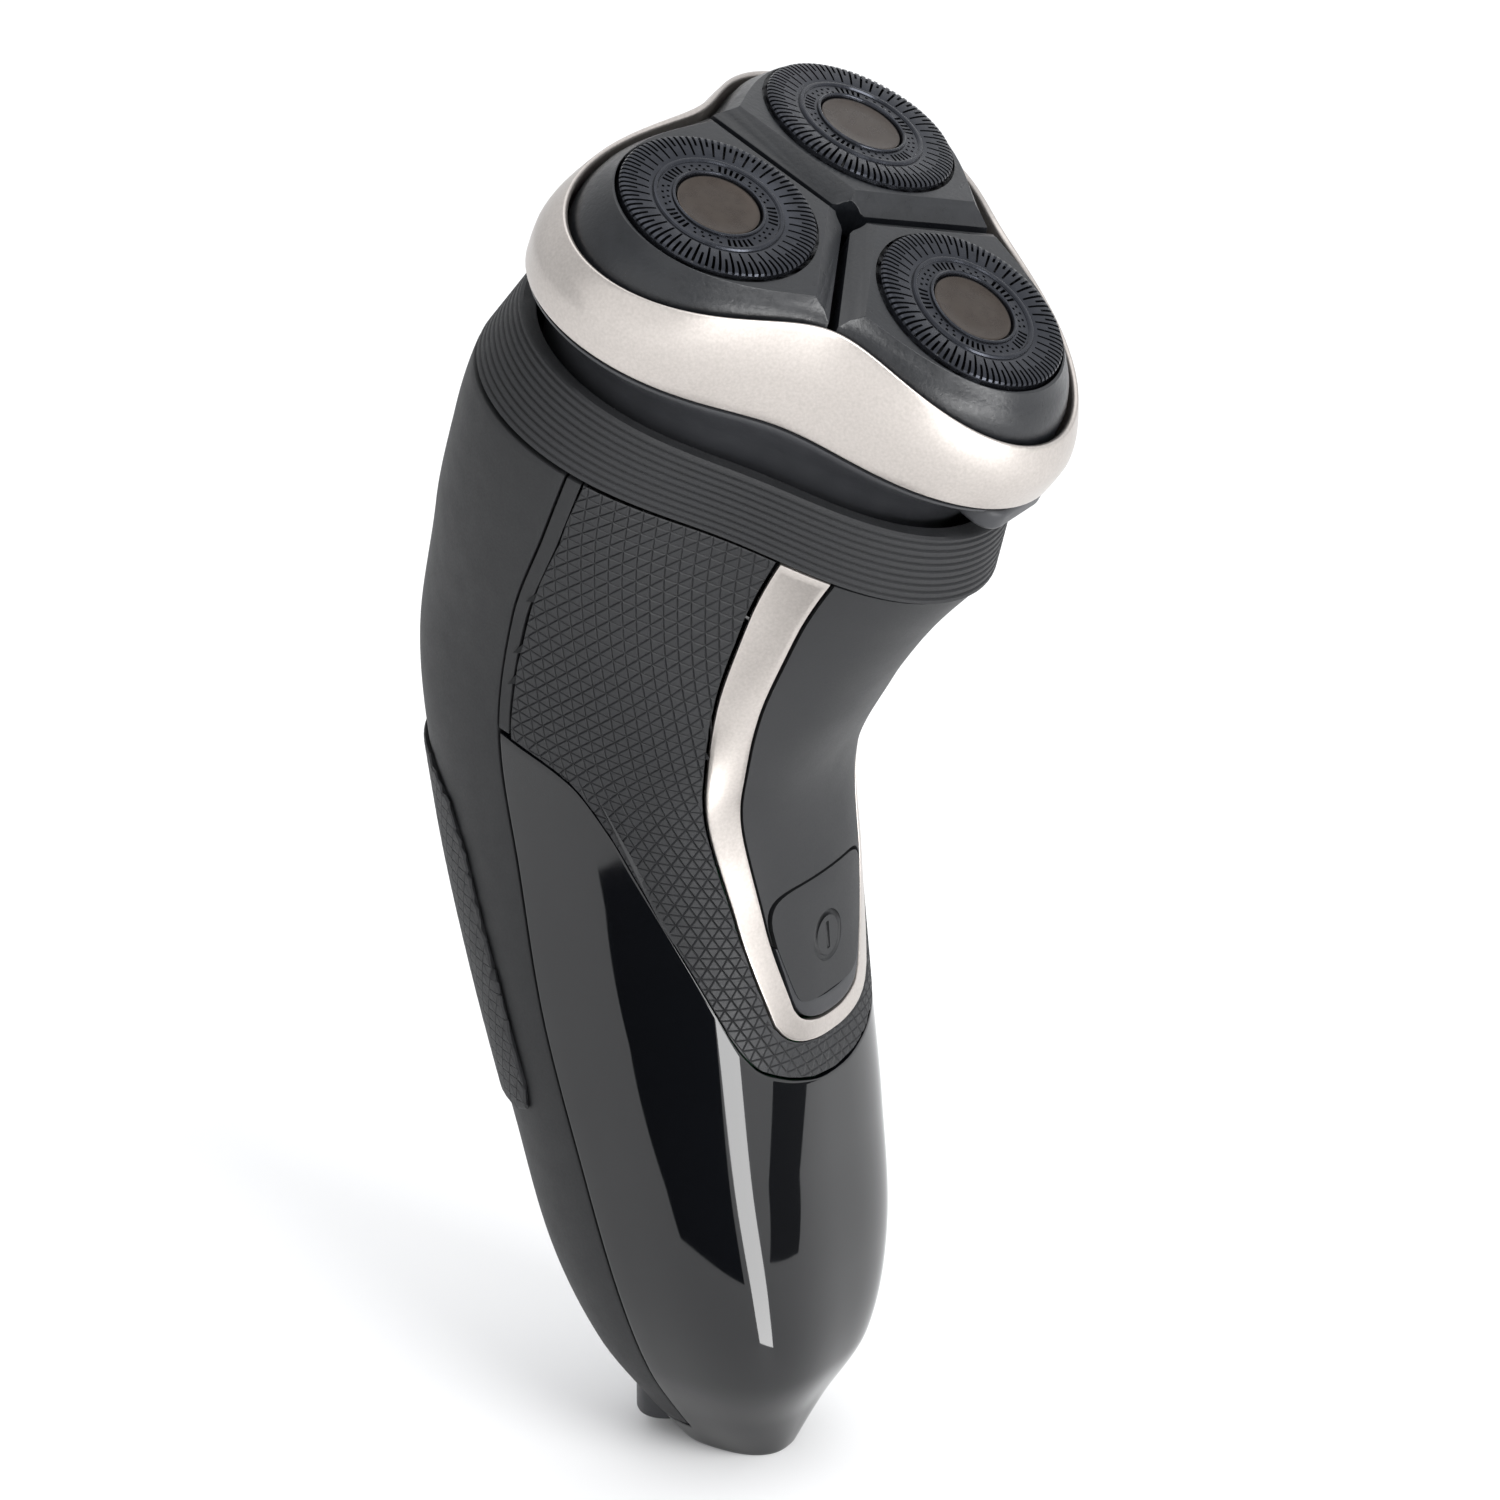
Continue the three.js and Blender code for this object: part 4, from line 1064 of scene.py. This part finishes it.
dome_levels = [
    (2.2, 0, -9.4, 0), (26.9, 6.2, -9.4, 0), (26.9, 6.2, -6.5, -1.2), (26.75, 6.2, -4.8, -1.7),
    (26.2, 6.15, -3.4, -1.6), (25.3, 6.1, -2.2, -1.3), (24.4, 6.05, -1.2, -1.0), (23.6, 6.0, 0.2, -0.5),
    (23.2, 6.0, 3.0, 0), (2.2, 0, 3.0, 0),
]
petal_master = lobed("petal_master", dome_levels)
front = math.radians(LOBES["front"])
slot_sides = []
for side in (-1, 1):
    edge_angle = front + side * math.radians(60)
    slot_sides.append(Vector((-math.sin(edge_angle), math.cos(edge_angle), 0)) * side)
for outward in slot_sides:
    bisect(petal_master, -outward * HALF_SLOT * MM, outward)
lean = on_lobe(LOBES["front"]) @ Matrix.Rotation(CUTTER_LEAN, 4, "Y")
top_point = lean @ Vector((0, 0, -0.7 * MM))
top_normal = lean.to_3x3() @ Vector((0, 0, 1))
bisect(petal_master, top_point, top_normal)
under = on_lobe(LOBES["front"]) @ Matrix.Rotation(math.radians(9), 4, "Y")
bisect(petal_master, under @ Vector((0, 0, -7.0 * MM)), under.to_3x3() @ Vector((0, 0, -1)))
tidy_mesh(petal_master, 0.01)
CHAMFER_DEPTH = 1.9
CHAMFER_SLOPE = math.radians(38)
for outward in slot_sides:
    wall = -outward * HALF_SLOT * MM
    rise = (top_point - wall).dot(top_normal) / top_normal.z - CHAMFER_DEPTH * MM
    slope = outward * math.sin(CHAMFER_SLOPE) + top_normal * math.cos(CHAMFER_SLOPE)
    bisect(petal_master, wall + Vector((0, 0, rise)), slope)
tidy_mesh(petal_master, 0.01)
bore = moved(rod(GUARD_RADIUS + 0.35, -30, 4, sides=96), lean)
cut_away(petal_master, bore)
centre_cut = rod(3.4, -30, 4, sides=3)
cut_away(petal_master, centre_cut)
round_edges(petal_master, 0.45, segments=4, angle=24)
tidy_mesh(petal_master, 0.01)


def copy_of(master, name, matrix):
    """A copy with its own mesh, put in place by moving its vertices."""
    piece = master.copy()
    piece.data = master.data.copy()
    piece.name = name
    bpy.context.scene.collection.objects.link(piece)
    return moved(piece, matrix)


for lobe, degrees in LOBES.items():
    turned = Matrix.Rotation(math.radians(degrees) - front, 4, "Z")
    petal = copy_of(petal_master, f"petal_cap_{lobe}", HEAD @ turned)
    dress(petal, spark_black, "satin_black", f"petal_{lobe}", f"petal_{lobe}", smooth=40)
bpy.data.objects.remove(petal_master)

# %% [markdown]
# ## Guards
#
# A guard is a thin lapped steel disc. Its outer track has ninety slots, every second one shorter,
# so the bars between them join in pairs like tuning forks, and they run over the rim. An inner
# track has five groups of slots and five clusters of small holes. One eight-degree wedge of the
# outer track and one fifth of the inner track are made as flat faces with the openings deleted,
# repeated by Spin, and given their thickness by Solidify.

# %% Slotted guard
OUTER_WEDGES = 45
OUTER_RADII = [7.75, 8.25, 8.9, 9.7, 10.6, 11.2, 11.5, 11.65, 11.65]
OUTER_HEIGHTS = [-0.05, 0.06, 0.14, 0.2, 0.2, 0.12, -0.02, -0.25, -1.1]
OUTER_SPLITS = [0, 0.14, 0.36, 0.5, 0.64, 0.86, 1.0]


def wedge(name, radii, heights, splits, sweep, open_cell):
    """A fan of faces from radii and angular splits, without the cells that are open."""
    piece = flat_grid(len(radii) - 1, len(splits) - 1)
    piece.name = name
    for vertex in piece.data.vertices:
        i = round((vertex.co.x + 0.5) * (len(radii) - 1))
        j = round((vertex.co.y + 0.5) * (len(splits) - 1))
        angle = splits[j] * sweep
        vertex.co = Vector((radii[i] * math.cos(angle), radii[i] * math.sin(angle), heights[i])) * MM

    def is_open(face):
        radius = math.hypot(face.center.x, face.center.y) / MM
        share = math.atan2(face.center.y, face.center.x) / sweep
        height = face.center.z / MM
        i = min(range(len(radii) - 1), key=lambda k: math.hypot(
            (radii[k] + radii[k + 1]) / 2 - radius, (heights[k] + heights[k + 1]) / 2 - height,
        ))
        j = min(range(len(splits) - 1), key=lambda k: abs((splits[k] + splits[k + 1]) / 2 - share))
        return open_cell(i, j)

    if select_faces(piece, is_open):
        bpy.ops.mesh.delete(type="FACE")
    leave()
    return piece


def outer_open(i, j):
    long_slot = j == 1 and 1 <= i <= 6
    short_slot = j == 4 and 3 <= i <= 6
    return long_slot or short_slot


guard_master = wedge(
    "guard_master", OUTER_RADII, OUTER_HEIGHTS, OUTER_SPLITS, 2 * math.pi / OUTER_WEDGES, outer_open,
)
spin(guard_master, OUTER_WEDGES, 0.003, dupli=True)
INNER_GROUPS = 5
INNER_RADII = [5.55, 5.85, 6.15, 6.45, 6.75, 7.0, 7.2]
INNER_HEIGHTS = [0.02, -0.02, -0.04, -0.05, -0.05, -0.04, -0.02]
INNER_STEPS = 24
INNER_SPLITS = [i / INNER_STEPS for i in range(INNER_STEPS + 1)]


def inner_open(i, j):
    slots = j in (1, 3, 5, 7, 9) and 1 <= i <= 4
    holes = (i == 1 and j in (12, 15, 18, 21)) or (i == 3 and j in (13, 16, 19, 22))
    return slots or holes


inner_track = wedge(
    "inner_track", INNER_RADII, INNER_HEIGHTS, INNER_SPLITS, 2 * math.pi / INNER_GROUPS, inner_open,
)
spin(inner_track, INNER_GROUPS, 0.003, dupli=True)
for piece in (guard_master, inner_track):
    edit_all(piece)
    bpy.ops.mesh.normals_make_consistent(inside=False)
    leave()
    if sum(face.normal.z for face in piece.data.polygons) < 0:
        flip(piece)
    thicken(piece, 0.42)
ridge = spun("ridge", [
    (7.15, -0.5), (7.15, 0.02), (7.3, 0.2), (7.5, 0.24), (7.68, 0.18), (7.8, -0.02), (7.8, -0.5),
], 96)
lip = spun("lip", [
    (5.12, -1.0), (5.12, 0.12), (5.2, 0.28), (5.36, 0.34), (5.52, 0.26), (5.6, 0.05), (5.6, -1.0),
], 96)
skirt = spun("skirt", [
    (11.22, -3.2), (11.22, -1.0), (11.62, -1.0), (11.65, -1.2), (11.65, -3.1), (11.55, -3.2),
], 96)
join_into(guard_master, inner_track, ridge, lip, skirt)
print(count(guard_master))

# %% [markdown]
# ## Caps
#
# A foil-faced cap sits in the middle of each guard. A cylinder primitive is inset, its face is
# dished a little and its rim rounded.

# %% Cap
cap_master = rod(4.9, -1.1, -0.02, sides=72)
if select_faces(cap_master, lambda face: face.normal.z > 0.9):
    bpy.ops.mesh.inset(thickness=0.35 * MM, depth=0)
    bpy.ops.mesh.inset(thickness=0.3 * MM, depth=-0.07 * MM)
    bpy.ops.mesh.inset(thickness=1.6 * MM, depth=0.03 * MM)
    bpy.ops.mesh.inset(thickness=1.4 * MM, depth=0.02 * MM)
leave()
round_edges(cap_master, 0.1, angle=60)

for lobe, degrees in LOBES.items():
    seat = HEAD @ on_lobe(degrees) @ Matrix.Rotation(CUTTER_LEAN, 4, "Y")
    guard = copy_of(guard_master, f"guard_slotted_{lobe}", seat)
    dress(guard, guard_steel, "guard_steel", f"petal_{lobe}", f"guard_{lobe}", smooth=30)
    cap = copy_of(cap_master, f"cap_foil_{lobe}", seat)
    dress(cap, cap_foil, "cap_steel", f"petal_{lobe}", f"guard_cap_{lobe}", smooth=30)
bpy.data.objects.remove(guard_master)
bpy.data.objects.remove(cap_master)

# %% [markdown]
# ## Trimmer door, catch and charging stub
#
# On the back a door folds out with the trimmer comb behind it, held by a ribbed catch. At the
# foot a short oval stub holds the two charging pins.

# %% Trimmer door
door = skin("trimmer_lid", patch(*TRIMMER), 60, 50, 1.6, 0.3)
dress(door, matt_black, "soft_black", "trimmer", "trimmer_door", smooth=28)

# %% Catch with its ribs
catch = skin("catch_ribbed", patch(*CATCH), 24, 20, 2.6, 0.3, depth=-0.6)
for i in range(4):
    rib = skin(
        f"rib_{i}",
        lambda u, v, low=CATCH[1] + 1.4 + 1.2 * i: (180 + (2 * u - 1) * 6.5, low + 0.5 * v),
        16, 3, 0.6, 0.12, depth=-0.8,
    )
    join_into(catch, rib)
dress(catch, satin_black, "satin_black", "catch", "trimmer_catch", smooth=30)

# %% Charging stub
stub = rod(1, 2.2, 13, sides=72)
stub.name = "stub_charging"
moved(stub, Matrix.Diagonal((6, 4.3, 1, 1)))
moved(stub, Matrix.Translation((0, STUB_Y * MM, 0)))
cavity = block(8.8, 4.8, 8, 0, STUB_Y, 5.2)
round_edges(cavity, 0.8, segments=4)
cut_away(stub, cavity)
round_edges(stub, 0.3, angle=45)
dress(stub, satin_black, "satin_black", "handle", "inlet_socket", smooth=35)

# %% [markdown]
# ## Finishes of the inner pieces
#
# The gears, springs, cutters, motor, cell and board keep their CAD shape and get the finish of
# their material slot.

# %% Dress the CAD nodes that stay
kept = [name for name, node in nodes.items() if not node.hide_render]
for name in kept:
    node = nodes[name]
    node.data.materials.clear()
    node.data.materials.append(FINISH_OF_SLOT[slot_of_node[name]])
print(len(kept), "CAD nodes keep their shape:", ", ".join(sorted(kept)))

# %% [markdown]
# ## Light
#
# A white tent lights the shaver softly. Gloss black shows only what it mirrors, and a lit room
# alone would leave it one flat grey, so a studio hangs cards near it: black ones that draw dark
# shapes into the lacquer, and a thin white strip that draws the bright line along its corner. The
# cards here stand on a circle round the foot and are seen by reflections only. A real white
# sweep looks pure white, so the colours are shown straight, without a film curve.

# %% Floor finish and the white tent
floor_paint = surface("floor_pale_paint", "#f6f6f6", "#f9f9f9", 400, (0.7, 0.8), 3, 0.002, IOR=1.45)
floor.data.materials.append(floor_paint)
only(floor)
bpy.ops.object.shade_smooth()
deselect()
bpy.context.scene.view_settings.view_transform = "Standard"
world = bpy.data.worlds.new("room")
world.use_nodes = True
tent = world.node_tree
sky = add(tent, "ShaderNodeTexCoord").outputs["Generated"]
ray = add(tent, "ShaderNodeSeparateXYZ", {"Vector": sky})
TENT = (0.7, 1.25)  # strength of the tent on the shaver's -X side and on its +X side
fade = add(tent, "ShaderNodeMapRange", {
    "Value": ray.outputs["X"], "From Min": -1.0, "From Max": 1.0, "To Min": TENT[0], "To Max": TENT[1],
})
tent.nodes["Background"].inputs["Color"].default_value = colour("#f7f8fa")
tent.links.new(fade.outputs["Result"], tent.nodes["Background"].inputs["Strength"])
bpy.context.scene.world = world

# %% Lamps
target = Vector((0, 0, 0.1))


def lamp(name, place, size, power):
    light = bpy.data.lights.new(name, "AREA")
    light.shape = "RECTANGLE"
    light.size, light.size_y = size
    light.energy = power
    holder = bpy.data.objects.new(name, light)
    bpy.context.scene.collection.objects.link(holder)
    holder.location = place
    holder.rotation_euler = (Vector(place) - target).to_track_quat("Z", "Y").to_euler()
    return holder


lamp("key", (-0.35, -0.9, 0.8), (0.6, 0.5), 9)
lamp("fill", (-1.1, 0.0, 0.35), (1.1, 0.9), 2)
lamp("top", (0.15, 0.1, 1.1), (0.8, 0.8), 2)
lamp("low", (-0.3, -0.75, 0.06), (0.7, 0.1), 3)

# %% Cards that only reflections see
CARD_MIDDLE = 8  # mm behind the foot's middle, the centre of the circles


def card(name, circle, foot, head, low, high, glow):
    """A card bent on a circle, in mm; foot and head are its left and right edges in degrees,
    high is its height at the left and at the right."""
    piece = flat_grid(16, 8)
    piece.name = name
    for vertex in piece.data.vertices:
        u, v = vertex.co.x + 0.5, vertex.co.y + 0.5
        left, right = (a + v * (b - a) for a, b in zip(foot, head))
        turn = math.radians(left + u * (right - left))
        height = low + v * (high[0] + u * (high[1] - high[0]) - low)
        vertex.co = Vector((
            circle * math.sin(turn), CARD_MIDDLE - circle * math.cos(turn), height,
        )) * MM
    material = bpy.data.materials.new(name)
    material.use_nodes = True
    material.node_tree.nodes.clear()
    shine = add(material.node_tree, "ShaderNodeEmission", {"Strength": glow})
    add(material.node_tree, "ShaderNodeOutputMaterial", {"Surface": shine.outputs["Emission"]})
    piece.data.materials.append(material)
    piece.visible_camera = piece.visible_diffuse = piece.visible_shadow = False
    piece.visible_transmission = False


card("card_black_side", 66, (-86, -41), (-99, -42), 4, (53, 66), 0.03)
card("card_black_front", 66, (-16, 10), (1, 34), 14, (42, 42), 0.12)
card("card_white_strip", 42, (-34, -23), (-44, -32), 0.5, (61, 61), 11.0)
print("three cards stand round the foot")
